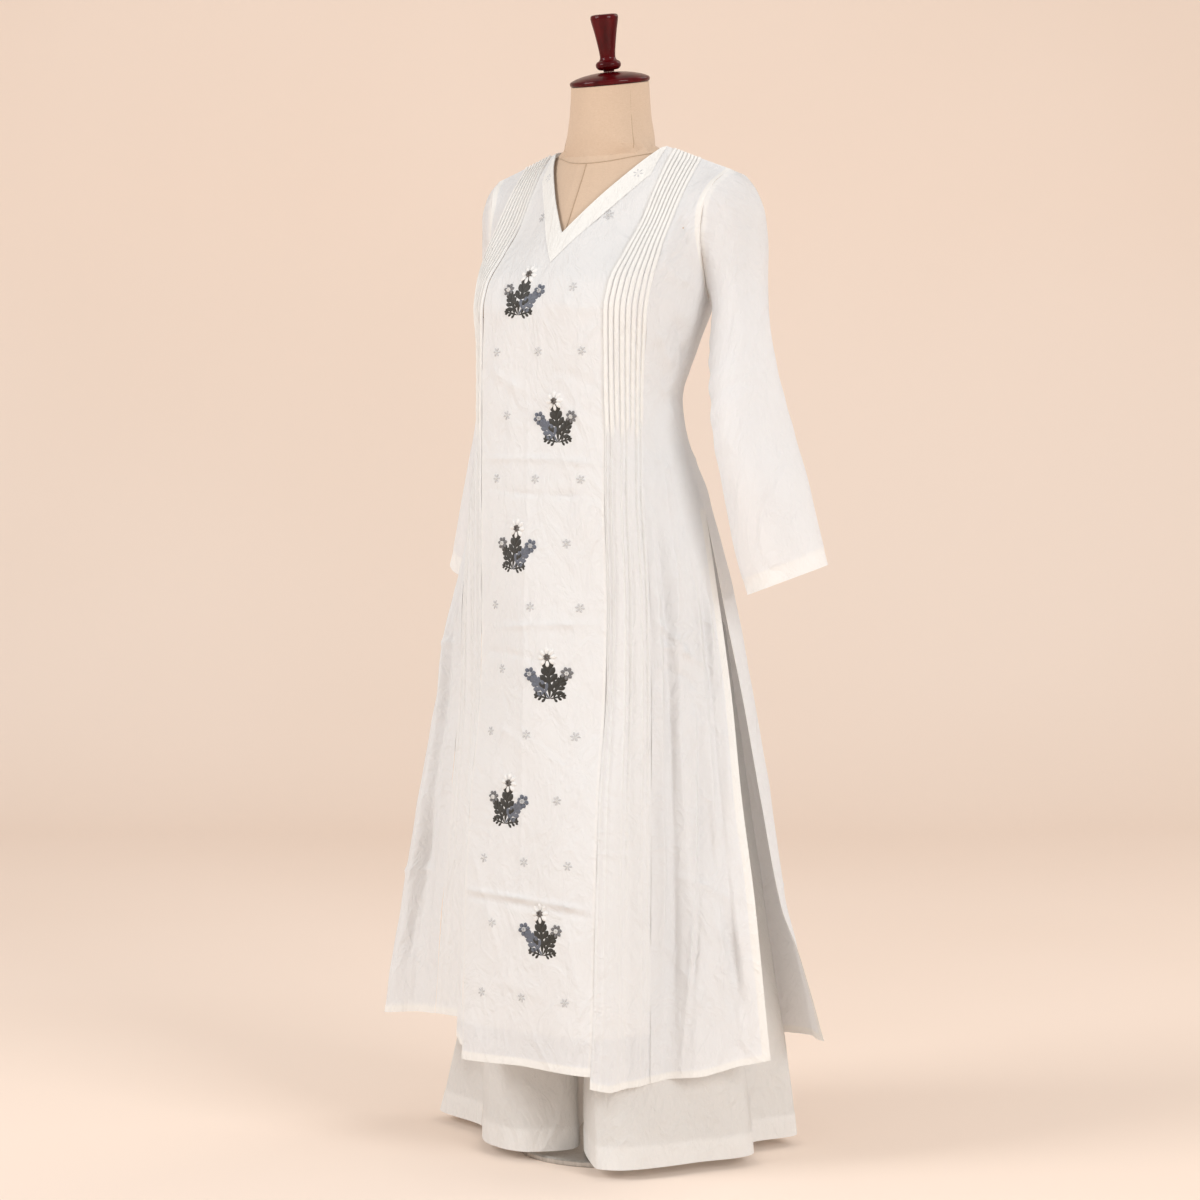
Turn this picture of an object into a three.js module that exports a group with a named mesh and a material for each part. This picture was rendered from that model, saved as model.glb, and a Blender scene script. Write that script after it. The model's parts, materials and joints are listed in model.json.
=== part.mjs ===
// Long kurta with pin tucks over wide trousers, on a limbless dress form. Millimetres, +Z up.
// The front faces -Y and the wearer's left is +X. The origin is the middle of the stand's underside.
import * as THREE from "three";

// Driving dimensions
const clothThickness = 1.2;
const seamGap = 0.35;
const hemHeight = 135;
const neckApexHeight = 1186;
const neckPointHalfWidth = 85;
const neckPointHeight = 1299;
const shoulderSlope = 0.347;
const shoulderSeamY = 5;
const shoulderTipX = 183;
const underarmHeight = 1098;
const slitTopHeight = 836;
const neckBandDrop = 39;
const tuckCount = 8;
const tuckDepth = 2.4;
const tuckEndHeight = 925;
const trouserHemHeight = 13;
const waistTop = 965;
const waistBandBottom = 930;
const crotchHeight = 685;
const crotchX = -30;
const baseRadius = 120;
const baseThickness = 8;
const poleRadius = 12.5;

// Finishes
const finishes = {
  cloth: { color: 0xf6f3ee, roughness: 0.9, metalness: 0 },
  linen: { color: 0xdcc4a4, roughness: 0.85, metalness: 0 },
  lacquer: { color: 0x4a0a10, roughness: 0.25, metalness: 0 },
  steel: { color: 0x8e8a84, roughness: 0.4, metalness: 0.8 },
};

const group = new THREE.Group();

const mix = (a, b, t) => a + (b - a) * t;
const clamp = (t) => Math.min(1, Math.max(0, t));
const smooth = (t) => clamp(t) * clamp(t) * (3 - 2 * clamp(t));
const heightOnShoulder = (x) => neckPointHeight - (x - neckPointHalfWidth) * shoulderSlope;

// Slopes of a curve through rising rows that never overshoots, for one column of the rows.
function rowSlopes(rows, column) {
  const steps = rows.slice(1).map((row, i) => (row[column] - rows[i][column]) / (row[0] - rows[i][0]));
  return rows.map((row, i) => {
    if (i === 0) return steps[0];
    if (i === rows.length - 1) return steps[i - 1];
    if (steps[i - 1] * steps[i] <= 0) return 0;
    return 2 / (1 / steps[i - 1] + 1 / steps[i]);
  });
}

// A line in space given by rows of height, x and y, lowest first.
function lineThrough(rows) {
  const slopes = [rowSlopes(rows, 1), rowSlopes(rows, 2)];
  return (z) => {
    let i = 0;
    while (i < rows.length - 2 && z > rows[i + 1][0]) i += 1;
    const span = rows[i + 1][0] - rows[i][0];
    const t = clamp((z - rows[i][0]) / span);
    const value = (c) => {
      const m0 = slopes[c - 1][i] * span;
      const m1 = slopes[c - 1][i + 1] * span;
      const t2 = t * t;
      const t3 = t2 * t;
      return (2 * t3 - 3 * t2 + 1) * rows[i][c] + (t3 - 2 * t2 + t) * m0
        + (3 * t2 - 2 * t3) * rows[i + 1][c] + (t3 - t2) * m1;
    };
    return [value(1), value(2)];
  };
}

// Point between the knots of a ring of plan points; knot spacing sets the slopes.
function acrossKnots(knots, index, t) {
  const before = knots[index - 1];
  const start = knots[index];
  const end = knots[index + 1];
  const after = knots[index + 2];
  const length = (p, q) => Math.max(1, Math.hypot(q[0] - p[0], q[1] - p[1]));
  const d0 = length(before, start);
  const d1 = length(start, end);
  const d2 = length(end, after);
  return [0, 1].map((c) => {
    const m0 = ((end[c] - before[c]) / (d0 + d1)) * d1;
    const m1 = ((after[c] - start[c]) / (d1 + d2)) * d1;
    const t2 = t * t;
    const t3 = t2 * t;
    return (2 * t3 - 3 * t2 + 1) * start[c] + (t3 - 2 * t2 + t) * m0
      + (3 * t2 - 2 * t3) * end[c] + (t3 - t2) * m1;
  });
}

const frontArmhole = [
  [1098, 155, -3], [1110, 158, -11], [1128, 160.5, -20], [1152, 162, -30],
  [1186, 163.5, -37], [1220, 167, -34], [1248, 174, -20], [1265, 183, 5],
];
const backArmhole = [
  [1098, 155, -3], [1110, 158, 14], [1128, 161, 37], [1152, 163, 57],
  [1186, 166, 68], [1220, 169, 62], [1248, 176, 36], [1265, 183, 5],
];
const sideSeam = [[836, 150, -6], [870, 140, -6], [930, 120, -7], [975, 115, -6], [1040, 135, -4]];

// Seam and fold lines of each side: rows of height, distance from the middle and depth (front negative).
const sharedLines = {
  centre: [
    [100, 0, -193], [230, 0, -192.5], [320, 0, -191], [470, 0, -186], [600, 0, -181], [720, 0, -174],
    [850, 0, -165], [930, 0, -158.5], [975, 0, -158], [1085, 0, -156.5], [1120, 0, -146], [1160, 0, -122],
    [1200, 0, -97], [1240, 0, -76], [1270, 0, -60], [1310, 0, -46],
  ],
  spine: [
    [100, 0, 197], [320, 0, 180], [470, 0, 166], [600, 0, 150], [720, 0, 125], [850, 0, 84], [930, 0, 52],
    [975, 0, 46], [1040, 0, 66], [1085, 0, 84], [1120, 0, 94], [1160, 0, 98], [1200, 0, 95], [1240, 0, 86],
    [1270, 0, 76], [1310, 0, 58],
  ],
};
const leftLines = {
  seam: [
    [100, 99, -187], [230, 102, -181], [320, 102, -178], [470, 100, -168], [600, 98, -150], [720, 98, -146],
    [850, 96, -149], [930, 96, -148], [975, 95, -149], [1085, 93.5, -148.5], [1120, 94, -138],
    [1160, 94.5, -103], [1200, 95, -66], [1240, 96, -40], [1270, 97, -20], [1300, 97, 6],
  ],
  tuck: [
    [100, 138, -110], [600, 140, -110], [720, 138, -110], [850, 128, -108], [930, 121, -100],
    [975, 121, -100], [1040, 128, -106], [1085, 134, -110], [1120, 136.5, -103], [1160, 138, -86],
    [1200, 138.5, -60], [1240, 139, -32], [1280, 139, 0],
  ],
  flank: [
    [100, 193, -62], [320, 185, -62], [470, 178, -62], [600, 172, -62], [720, 162, -61], [850, 143, -58],
    [930, 128, -54], [975, 122, -52], [1040, 139, -54], [1085, 151, -56], [1120, 152, -58],
    [1160, 152, -58], [1200, 154, -47], [1240, 158, -27], [1272, 161, 2],
  ],
  slitFront: [
    [100, 258, -8], [230, 250, -20], [320, 242, -24], [470, 218, -22], [600, 197, -14], [720, 174, -9],
  ],
  slitBack: [
    [100, 264, 122], [150, 261, 106], [266, 250, 64], [333, 236, 41], [469, 215, 25], [587, 199, 11],
    [720, 176, -3],
  ],
  side: sideSeam,
  blade: [
    [100, 152, 184], [320, 140, 168], [470, 132, 155], [600, 122, 138], [720, 112, 116], [850, 98, 76],
    [930, 82, 46], [975, 76, 39], [1040, 88, 58], [1085, 98, 74], [1120, 104, 84], [1160, 106, 89],
    [1200, 104, 85], [1240, 100, 66], [1270, 93, 38], [1300, 85, 8],
  ],
};
const rightLines = {
  seam: leftLines.seam,
  tuck: [
    [100, 190, -126], [320, 174, -124], [470, 162, -121], [600, 153, -119], [720, 147, -120],
    [850, 136, -116], [930, 128, -106], [975, 127, -105], [1040, 129, -107], [1085, 134, -110],
    [1120, 136.5, -103], [1160, 138, -86], [1200, 138.5, -60], [1240, 139, -32], [1280, 139, 0],
  ],
  flank: [
    [100, 288, -112], [178, 281, -107], [320, 262, -96], [470, 236, -92], [600, 212, -88], [720, 186, -82],
    [850, 146, -68], [930, 129, -58], [975, 123, -54], [1040, 139, -54], [1085, 151, -56],
    [1120, 152, -58], [1160, 152, -58], [1200, 154, -47], [1240, 158, -27], [1272, 161, 2],
  ],
  slitFront: [[100, 300, -42], [320, 274, -26], [470, 246, -22], [600, 217, -16], [720, 184, -10]],
  slitBack: [[100, 304, 84], [266, 280, 52], [333, 264, 36], [469, 241, 18], [587, 215, 4], [720, 186, -4]],
  side: [[836, 152, -7], [870, 141, -7], [930, 120.5, -7], [975, 115, -6], [1040, 135, -4]],
  blade: [
    [100, 172, 186], [320, 154, 169], [470, 142, 156], [600, 129, 138], [720, 116, 116], [850, 98, 76],
    [930, 82, 46], [975, 76, 39], [1040, 88, 58], [1085, 98, 74], [1120, 104, 84], [1160, 106, 89],
    [1200, 104, 85], [1240, 100, 66], [1270, 93, 38], [1300, 85, 8],
  ],
};

const smoothLines = (lines) => ({
  centre: lineThrough(sharedLines.centre),
  seam: lineThrough(lines.seam),
  tuck: lineThrough(lines.tuck),
  flank: lineThrough(lines.flank),
  sideFront: lineThrough([...lines.slitFront, ...lines.side, ...frontArmhole]),
  sideBack: lineThrough([...lines.slitBack, ...lines.side, ...backArmhole]),
  blade: lineThrough(lines.blade),
  spine: lineThrough(sharedLines.spine),
});
const kurtaLines = { left: smoothLines(leftLines), right: smoothLines(rightLines) };

const mirrored = ([x, y]) => [-x, y];
const beyond = ([x0, y0], [x1, y1]) => [2 * x1 - x0, 2 * y1 - y0];
const blend = (p, q, t) => [mix(p[0], q[0], t), mix(p[1], q[1], t)];

// Places around the body: 0 front middle, 1 panel seam, 2 outer tuck, 3 flank, 4 side, 5 blade, 6 spine.
// The front half ends at 4 and the back half starts there.
function kurtaPlan(side, place, z, half) {
  const lines = kurtaLines[side];
  const joined = smooth((z - slitTopHeight + 10) / 40);
  const other = kurtaLines[side === "left" ? "right" : "left"];
  if (half === "front") {
    const flank = lines.flank(z);
    const sideFront = lines.sideFront(z);
    const after = blend(beyond(flank, sideFront), lines.blade(z), joined);
    const knots = [
      mirrored(other.seam(z)), lines.centre(z), lines.seam(z), lines.tuck(z), flank, sideFront, after,
    ];
    const index = Math.min(3, Math.floor(place));
    return acrossKnots(knots, index + 1, place - index);
  }
  const blade = lines.blade(z);
  const sideBack = lines.sideBack(z);
  const before = blend(beyond(blade, sideBack), lines.flank(z), joined);
  const knots = [before, sideBack, blade, lines.spine(z), mirrored(other.blade(z))];
  const index = Math.min(1, Math.floor(place - 4));
  return acrossKnots(knots, index + 1, place - 4 - index);
}

// Soft folds that hang below the tucks: rows of place, width, depth at the hem and height where they start.
const hangingFolds = {
  left: [
    [1.35, 0.22, 5, 900], [1.78, 0.2, 6, 880], [2.35, 0.3, -7, 900], [2.9, 0.34, 6, 860], [3.5, 0.3, -6, 800],
    [4.5, 0.3, 9, 850], [5.0, 0.28, -8, 900], [5.45, 0.26, 9, 880], [5.8, 0.22, -7, 900],
  ],
  right: [
    [1.5, 0.3, -14, 880], [2.05, 0.24, 6, 900], [2.5, 0.28, -6, 900], [3.0, 0.3, 6, 860], [3.6, 0.3, -7, 820],
    [4.4, 0.3, 8, 850], [4.85, 0.28, -9, 880], [5.3, 0.26, 8, 900], [5.7, 0.24, -8, 880],
  ],
};

function foldDepth(side, place, z) {
  return hangingFolds[side].reduce((sum, [middle, width, depth, start]) => {
    const away = (place - middle) / width;
    const grown = smooth((start - z) / (start - 150));
    return sum + depth * grown * Math.exp(-away * away * 2);
  }, 0);
}

// Value at a place from rows of place and value.
function stepped(rows, place) {
  let i = 0;
  while (i < rows.length - 2 && place > rows[i + 1][0]) i += 1;
  return mix(rows[i][1], rows[i + 1][1], clamp((place - rows[i][0]) / (rows[i + 1][0] - rows[i][0])));
}

const neckPlace = neckPointHalfWidth / 97;
const shoulderWidths = [[neckPlace, neckPointHalfWidth], [1, 97], [2, 139], [3, 162], [4, shoulderTipX]];
const backShoulderWidths = [[4, shoulderTipX], [5, neckPointHalfWidth]];

// Distance from the middle at which a place reaches the shoulder seam; null inside the neckline.
function shoulderReach(place) {
  if (place < neckPlace || place > 5) return null;
  return stepped(place <= 4 ? shoulderWidths : backShoulderWidths, place);
}

// Height of the top edge at a place: neckline or shoulder seam.
function topHeight(place) {
  if (place < neckPlace) return mix(neckApexHeight, neckPointHeight, place / neckPlace);
  if (place > 5) return mix(neckPointHeight, 1288, smooth(place - 5));
  return heightOnShoulder(shoulderReach(place));
}

// A point of the kurta's outside at a place and height, before pin tucks.
function kurtaPoint(side, half, place, z) {
  const sign = side === "left" ? 1 : -1;
  let [x, y] = kurtaPlan(side, place, z, half);
  const reach = shoulderReach(place);
  const top = topHeight(place);
  if (reach !== null && z > top - 70) {
    const near = ((z - top + 70) / 70) ** 2;
    const [endX, endY] = kurtaPlan(side, place, top, half);
    x += (reach - endX) * near;
    y += (shoulderSeamY - endY) * near;
  }
  const first = half === "front" ? 0 : 4;
  const last = half === "front" ? 4 : 6;
  const [ax, ay] = kurtaPlan(side, Math.max(first, place - 0.02), z, half);
  const [bx, by] = kurtaPlan(side, Math.min(last, place + 0.02), z, half);
  const length = Math.hypot(bx - ax, by - ay) || 1;
  const depth = foldDepth(side, place, z);
  return new THREE.Vector3(sign * (x + ((by - ay) / length) * depth), y - ((bx - ax) / length) * depth, z);
}

// Direction out of the cloth. Panels that share a seam share it there, so their edges stay parallel.
function kurtaNormal(side, half, place, z) {
  const sign = side === "left" ? 1 : -1;
  const first = half === "front" ? 0 : 4;
  const last = half === "front" ? 4 : 6;
  const along = kurtaPoint(side, half, Math.min(last, place + 0.03), z)
    .sub(kurtaPoint(side, half, Math.max(first, place - 0.03), z));
  if (place < 0.03 || place > 5.97) along.set(sign * along.length() * (half === "front" ? 1 : -1), 0, 0);
  const up = kurtaPoint(side, half, place, z + 2).sub(kurtaPoint(side, half, place, z - 2));
  const normal = along.cross(up).multiplyScalar(sign).normalize();
  const lines = kurtaLines[side];
  const sideness = half === "front" ? clamp((place - 3.6) / 0.4) : clamp((4.4 - place) / 0.4);
  const seamed = smooth((z - slitTopHeight + 30) / 30) * sideness;
  if (seamed > 0 && z < underarmHeight + 1) {
    const [fx, fy] = lines.flank(z);
    const [bx, by] = lines.blade(z);
    const shared = new THREE.Vector3(sign * (by - fy), -(bx - fx), normal.z * 60).normalize();
    normal.lerp(shared, seamed).normalize();
  }
  const reach = shoulderReach(place);
  if (reach !== null) {
    const near = clamp(1 - (topHeight(place) - z) / 12);
    const shared = new THREE.Vector3(sign * shoulderSlope, 0, 1).normalize();
    normal.lerp(shared, near).normalize();
  }
  return normal;
}

// Closed wall from a grid of outside and inside points; columns run so that outside faces the viewer.
function wallGeometry(columns, rows, outside, inside, closed, flip) {
  const positions = [];
  const indices = [];
  const grid = (source) => {
    const base = positions.length / 3;
    for (let i = 0; i < columns; i += 1) {
      for (let j = 0; j < rows; j += 1) positions.push(...source[i][j].toArray());
    }
    return (i, j) => base + (i % columns) * rows + j;
  };
  const out = grid(outside);
  const back = grid(inside);
  const quad = (a, b, c, d) => {
    if (flip) indices.push(a, c, b, a, d, c);
    else indices.push(a, b, c, a, c, d);
  };
  const spans = closed ? columns : columns - 1;
  for (let i = 0; i < spans; i += 1) {
    for (let j = 0; j < rows - 1; j += 1) {
      quad(out(i, j), out(i + 1, j), out(i + 1, j + 1), out(i, j + 1));
      quad(back(i, j), back(i, j + 1), back(i + 1, j + 1), back(i + 1, j));
    }
    quad(out(i + 1, 0), out(i, 0), back(i, 0), back(i + 1, 0));
    quad(out(i, rows - 1), out(i + 1, rows - 1), back(i + 1, rows - 1), back(i, rows - 1));
  }
  if (!closed) {
    for (let j = 0; j < rows - 1; j += 1) {
      quad(out(0, j), out(0, j + 1), back(0, j + 1), back(0, j));
      quad(out(columns - 1, j + 1), out(columns - 1, j), back(columns - 1, j), back(columns - 1, j + 1));
    }
  }
  const geometry = new THREE.BufferGeometry();
  geometry.setAttribute("position", new THREE.Float32BufferAttribute(positions, 3));
  geometry.setIndex(indices);
  return geometry;
}

function add(name, geometry, finish) {
  geometry.computeVertexNormals();
  const mesh = new THREE.Mesh(geometry, new THREE.MeshStandardMaterial(finishes[finish]));
  mesh.name = name;
  group.add(mesh);
}

// Pulls the end columns of a grid inwards by half the seam gap, so that neighbours stay apart.
function trimColumns(points, trimStart, trimEnd) {
  const pull = (edge, next) => edge.map((p, j) => {
    const step = next[j].clone().sub(p);
    const length = step.length();
    return length < 1e-6 ? p : p.clone().addScaledVector(step, Math.min(0.4, seamGap / 2 / length));
  });
  const trimmed = points.slice();
  if (trimStart) trimmed[0] = pull(points[0], points[1]);
  if (trimEnd) trimmed[points.length - 1] = pull(points[points.length - 1], points[points.length - 2]);
  return trimmed;
}

// Pulls the top row down by half the seam gap.
function trimTop(points) {
  return points.map((column) => {
    const last = column.length - 1;
    const step = column[last - 1].clone().sub(column[last]);
    const moved = column[last].clone().addScaledVector(step, Math.min(0.4, seamGap / 2 / step.length()));
    return [...column.slice(0, last), moved];
  });
}

const lowerRows = 12;
const upperShares = [0.16, 0.32, 0.48, 0.64, 0.8, 0.9, 1];

// Heights of a panel's rows at one place, from its hem to its top edge.
function panelHeights(hem, place) {
  const heights = [];
  for (let j = 0; j <= lowerRows; j += 1) heights.push(mix(hem, underarmHeight, j / lowerRows));
  const top = topHeight(place);
  if (place < 1) {
    const bandFoot = top - neckBandDrop;
    for (let j = 1; j <= 5; j += 1) heights.push(mix(underarmHeight, bandFoot, j / 5));
    heights.push(mix(bandFoot, top, 0.5), top);
  } else {
    heights.push(...upperShares.map((share) => mix(underarmHeight, top, share)));
  }
  return heights;
}

// Raised height of the pin tucks at a place and height.
function tuckRise(place, z) {
  if (place <= 1 || place >= 2) return 0;
  const within = ((place - 1) * tuckCount) % 1;
  return within > 0.5 ? tuckDepth * smooth((z - tuckEndHeight + 50) / 70) : 0;
}

// Signed places: the wearer's left is positive. Gives outside and inside grids of a panel.
function panelGrids(places, half, hemAt, shift = 0, thickness = clothThickness, rowsFrom = 0) {
  const outside = [];
  const inside = [];
  places.forEach((signed) => {
    const side = signed < 0 ? "right" : "left";
    const place = Math.abs(signed);
    const heights = panelHeights(hemAt(signed), place).slice(rowsFrom);
    const outer = [];
    const inner = [];
    heights.forEach((z) => {
      const point = kurtaPoint(side, half, place, z);
      const normal = kurtaNormal(side, half, place, z);
      outer.push(point.clone().addScaledVector(normal, shift + tuckRise(place, z)));
      inner.push(point.clone().addScaledVector(normal, shift - thickness));
    });
    outside.push(outer);
    inside.push(inner);
  });
  return { outside, inside };
}

function addPanel(name, places, half, hemAt, options = {}) {
  const { trimStart = true, trimEnd = true, flip = false } = options;
  const { outside, inside } = panelGrids(places, half, hemAt);
  const outer = trimTop(trimColumns(outside, trimStart, trimEnd));
  const inner = trimTop(trimColumns(inside, trimStart, trimEnd));
  add(name, wallGeometry(outer.length, outer[0].length, outer, inner, false, flip), "cloth");
}

const span = (from, to, steps) => Array.from({ length: steps + 1 }, (_, i) => mix(from, to, i / steps));
const centrePlaces = [0, 0.16, 0.32, 0.48, 0.64, 0.78, neckPlace, 1];
const centreSpread = [...centrePlaces.slice(1).reverse().map((p) => -p), ...centrePlaces];
const tuckPlaces = span(1, 2, tuckCount * 2).map((p, i) => (i % 2 ? p + 0.02 : p));

// Hem heights: rows of place and height.
const hems = {
  centre: [[0, hemHeight + 4], [1, hemHeight]],
  leftTucks: [[1, 120], [1.3, 115], [2, 119]],
  leftFront: [[2, 119], [3, 128], [4, 146]],
  rightTucks: [[1, 152], [1.5, 178], [2, 176]],
  rightFront: [[2, 176], [3, 164], [4, 160]],
  back: [[4, 151], [5, 141], [6, 139]],
};
const hemOn = (name) => (signed) => stepped(hems[name], Math.abs(signed));

addPanel("kurta_front_centre", centreSpread, "front", hemOn("centre"));
addPanel("kurta_tucks_left", tuckPlaces, "front", hemOn("leftTucks"));
addPanel("kurta_tucks_right", tuckPlaces.map((p) => -p), "front", hemOn("rightTucks"), { flip: true });
addPanel("kurta_front_left", span(2, 4, 8), "front", hemOn("leftFront"));
addPanel("kurta_front_right", span(2, 4, 8).map((p) => -p), "front", hemOn("rightFront"), { flip: true });
const backPlaces = span(4, 6, 10);
const backSpread = [...backPlaces, ...backPlaces.slice(0, -1).reverse().map((p) => -p)];
addPanel("kurta_back", backSpread, "back", hemOn("back"));

// Band round the front neckline, lying on the centre panel.
const bandGrids = panelGrids(centreSpread, "front", hemOn("centre"), seamGap + 1, 1, lowerRows + 5);
const bandOuter = trimTop(bandGrids.outside);
const bandInner = trimTop(bandGrids.inside);
add("kurta_neck_band", wallGeometry(centreSpread.length, 3, bandOuter, bandInner, false, false), "cloth");

// Sleeve rings: over-arm x and z, underarm x and z, middle y, half depth and backward tilt.
const sleeveRings = {
  left: [
    [192, 1260, 159, 1099, 13, 52, 0], [205, 1246, 162, 1094, 12, 50, 0], [216, 1220, 163.5, 1086, 10, 48, 0],
    [221, 1182, 164, 1074, 8, 47, 0], [225, 1125, 163.5, 1056, 6, 48, 0], [233, 1066, 164.5, 1030, 4, 51, 0],
    [242, 1016, 166.5, 996, 4, 58, 0], [250, 972, 170.5, 955, 4, 64, 0.02], [258, 930, 177, 911, 6, 68, 0.05],
    [272.5, 878, 189, 853, 12, 69, 0.09], [285, 820, 199, 792, 21, 68, 0.13],
    [297, 763, 209, 733, 30, 66, 0.162],
  ],
  right: [
    [190, 1259, 159, 1099, 15, 49, 0], [198, 1246, 162, 1094, 17, 45, 0], [203, 1220, 163.5, 1086, 19, 42, 0],
    [206, 1182, 164, 1074, 21, 41, 0], [211, 1125, 163.5, 1056, 25, 42, 0], [217, 1066, 164, 1030, 32, 44, 0],
    [224, 1016, 165, 996, 38, 46, 0], [232, 972, 167, 955, 42, 48, 0.02], [240, 930, 171, 911, 46, 50, 0.05],
    [256, 878, 182, 853, 51, 52, 0.09], [273, 820, 195, 792, 54, 55, 0.13],
    [289, 766, 207, 736, 56, 57, 0.16],
  ],
};

function addSleeve(side) {
  const sign = side === "left" ? 1 : -1;
  const shares = [1, 0.9, 0.8, 0.64, 0.48, 0.32, 0.16, 0];
  const loop = [];
  const addLoopPoint = (half, share) => {
    const z = mix(underarmHeight, heightOnShoulder(shoulderTipX), share);
    const point = kurtaPoint(side, half, 4, z);
    const normal = kurtaNormal(side, half, 4, z);
    const lower = kurtaPoint(side, half, 4, Math.max(underarmHeight, z - 3));
    const edge = kurtaPoint(side, half, 4, z + 3).sub(lower);
    const outward = edge.cross(normal).multiplyScalar(half === "front" ? sign : -sign).normalize();
    if (share === 1) outward.set(sign, 0, -shoulderSlope).normalize();
    if (share === 0) outward.set(sign * 0.5, 0, 1).normalize();
    loop.push({
      angle: Math.acos(2 * share - 1) * (half === "back" ? 1 : -1),
      outer: point.clone().addScaledVector(outward, seamGap * 2),
      turned: point.clone().addScaledVector(outward, seamGap * 2 + (share === 1 ? 1.2 : 3)),
      normal,
    });
  };
  shares.forEach((share) => addLoopPoint("back", share));
  shares.slice(1, -1).reverse().forEach((share) => addLoopPoint("front", share));
  const count = loop.length * 2;
  const outside = Array.from({ length: count }, () => []);
  const inside = Array.from({ length: count }, () => []);
  const angles = [];
  for (let i = 0; i < count; i += 1) {
    const here = loop[Math.floor(i / 2)];
    const next = loop[(Math.floor(i / 2) + 1) % loop.length];
    const half = i % 2 ? 0.5 : 0;
    outside[i].push(here.outer.clone().lerp(next.outer, half), here.turned.clone().lerp(next.turned, half));
    let first = here.angle;
    let second = next.angle;
    if (first < 0) first += 2 * Math.PI;
    if (second < first) second += 2 * Math.PI;
    angles.push(mix(first, second, half));
  }
  const rings = sleeveRings[side];
  const ringPoint = (ring, angle) => {
    const [overX, overZ, underX, underZ, middleY, halfDepth, tilt] = ring;
    const high = (Math.cos(angle) + 1) / 2;
    const gathered = smooth((underZ - 1040) / 59) * (1 - high) ** 2;
    const back = halfDepth * Math.sin(angle) * (1 - 0.4 * gathered);
    const centre = middleY - gathered * (middleY - 1);
    const z = mix(underZ, overZ, high) + tilt * back;
    return new THREE.Vector3(sign * mix(underX, overX, high), centre + back, z);
  };
  const angleAt = (r, i) => mix(angles[i], (2 * Math.PI * i) / count, smooth((r + 1) / 6));
  // The seam lies in the plane of the panel; the next ring turns towards the sleeve.
  for (let i = 0; i < count; i += 1) {
    const here = loop[Math.floor(i / 2)];
    const next = loop[(Math.floor(i / 2) + 1) % loop.length];
    const panelNormal = here.normal.clone().lerp(next.normal, i % 2 ? 0.5 : 0).normalize();
    const around = outside[(i + 1) % count][1].clone().sub(outside[(i + count - 1) % count][1]);
    const down = ringPoint(rings[0], angleAt(0, i)).sub(outside[i][1]);
    const sleeveNormal = around.cross(down).multiplyScalar(sign).normalize();
    inside[i].push(outside[i][0].clone().addScaledVector(panelNormal, -clothThickness));
    const shared = panelNormal.add(sleeveNormal).normalize();
    inside[i].push(outside[i][1].clone().addScaledVector(shared, -clothThickness));
  }
  rings.forEach((ring, r) => {
    for (let i = 0; i < count; i += 1) {
      const angle = angleAt(r, i);
      const point = ringPoint(ring, angle);
      const around = ringPoint(ring, angle + 0.05).sub(ringPoint(ring, angle - 0.05));
      const before = r ? ringPoint(rings[r - 1], angle) : outside[i][1];
      const after = rings[Math.min(rings.length - 1, r + 1)];
      const down = ringPoint(after, angle).sub(before);
      const normal = around.cross(down).multiplyScalar(sign).normalize();
      outside[i].push(point);
      inside[i].push(point.clone().addScaledVector(normal, -clothThickness));
    }
  });
  const geometry = wallGeometry(count, outside[0].length, outside, inside, true, side === "right");
  add(`kurta_sleeve_${side}`, geometry, "cloth");
}
addSleeve("left");
addSleeve("right");

// Dress form sections below the bust: height, middle y, half width, front depth, back depth, roundness.
const formSections = [
  [765, 4, 130, 90, 76, 2.1], [785, 4, 134, 95, 80, 2.1], [830, 2, 132, 96, 68, 2.1],
  [880, -3, 118, 92, 54, 2.1],
  [930, -10, 106, 84, 46, 2.2], [965, -12, 102, 84, 42, 2.2], [1010, -10, 112, 98, 50, 2.3],
  [1055, -4, 128, 128, 60, 2.4],
];
const formTopShares = [0, 0.14, 0.28, 0.42, 0.56, 0.7, 0.82, 0.92, 1];
const formClearance = 3;

function valuesAt(rows, z) {
  const line = (column) => {
    const slopes = rowSlopes(rows, column);
    let i = 0;
    while (i < rows.length - 2 && z > rows[i + 1][0]) i += 1;
    const length = rows[i + 1][0] - rows[i][0];
    const t = clamp((z - rows[i][0]) / length);
    return (2 * t ** 3 - 3 * t ** 2 + 1) * rows[i][column] + (t ** 3 - 2 * t ** 2 + t) * slopes[i] * length
      + (3 * t ** 2 - 2 * t ** 3) * rows[i + 1][column] + (t ** 3 - t ** 2) * slopes[i + 1] * length;
  };
  return rows[0].map((_, column) => (column ? line(column) : z));
}

// Plan point of the form below the bust, grown by a clearance; the angle runs from the front round the left.
function formPlan(z, angle, clearance = 0) {
  const [, middle, width, front, back, round] = valuesAt(formSections, z);
  const s = Math.sin(angle);
  const c = Math.cos(angle);
  const depth = c > 0 ? front : back;
  return [
    Math.sign(s) * Math.abs(s) ** (2 / round) * (width + clearance),
    middle - Math.sign(c) * Math.abs(c) ** (2 / round) * (depth + clearance),
  ];
}

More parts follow.
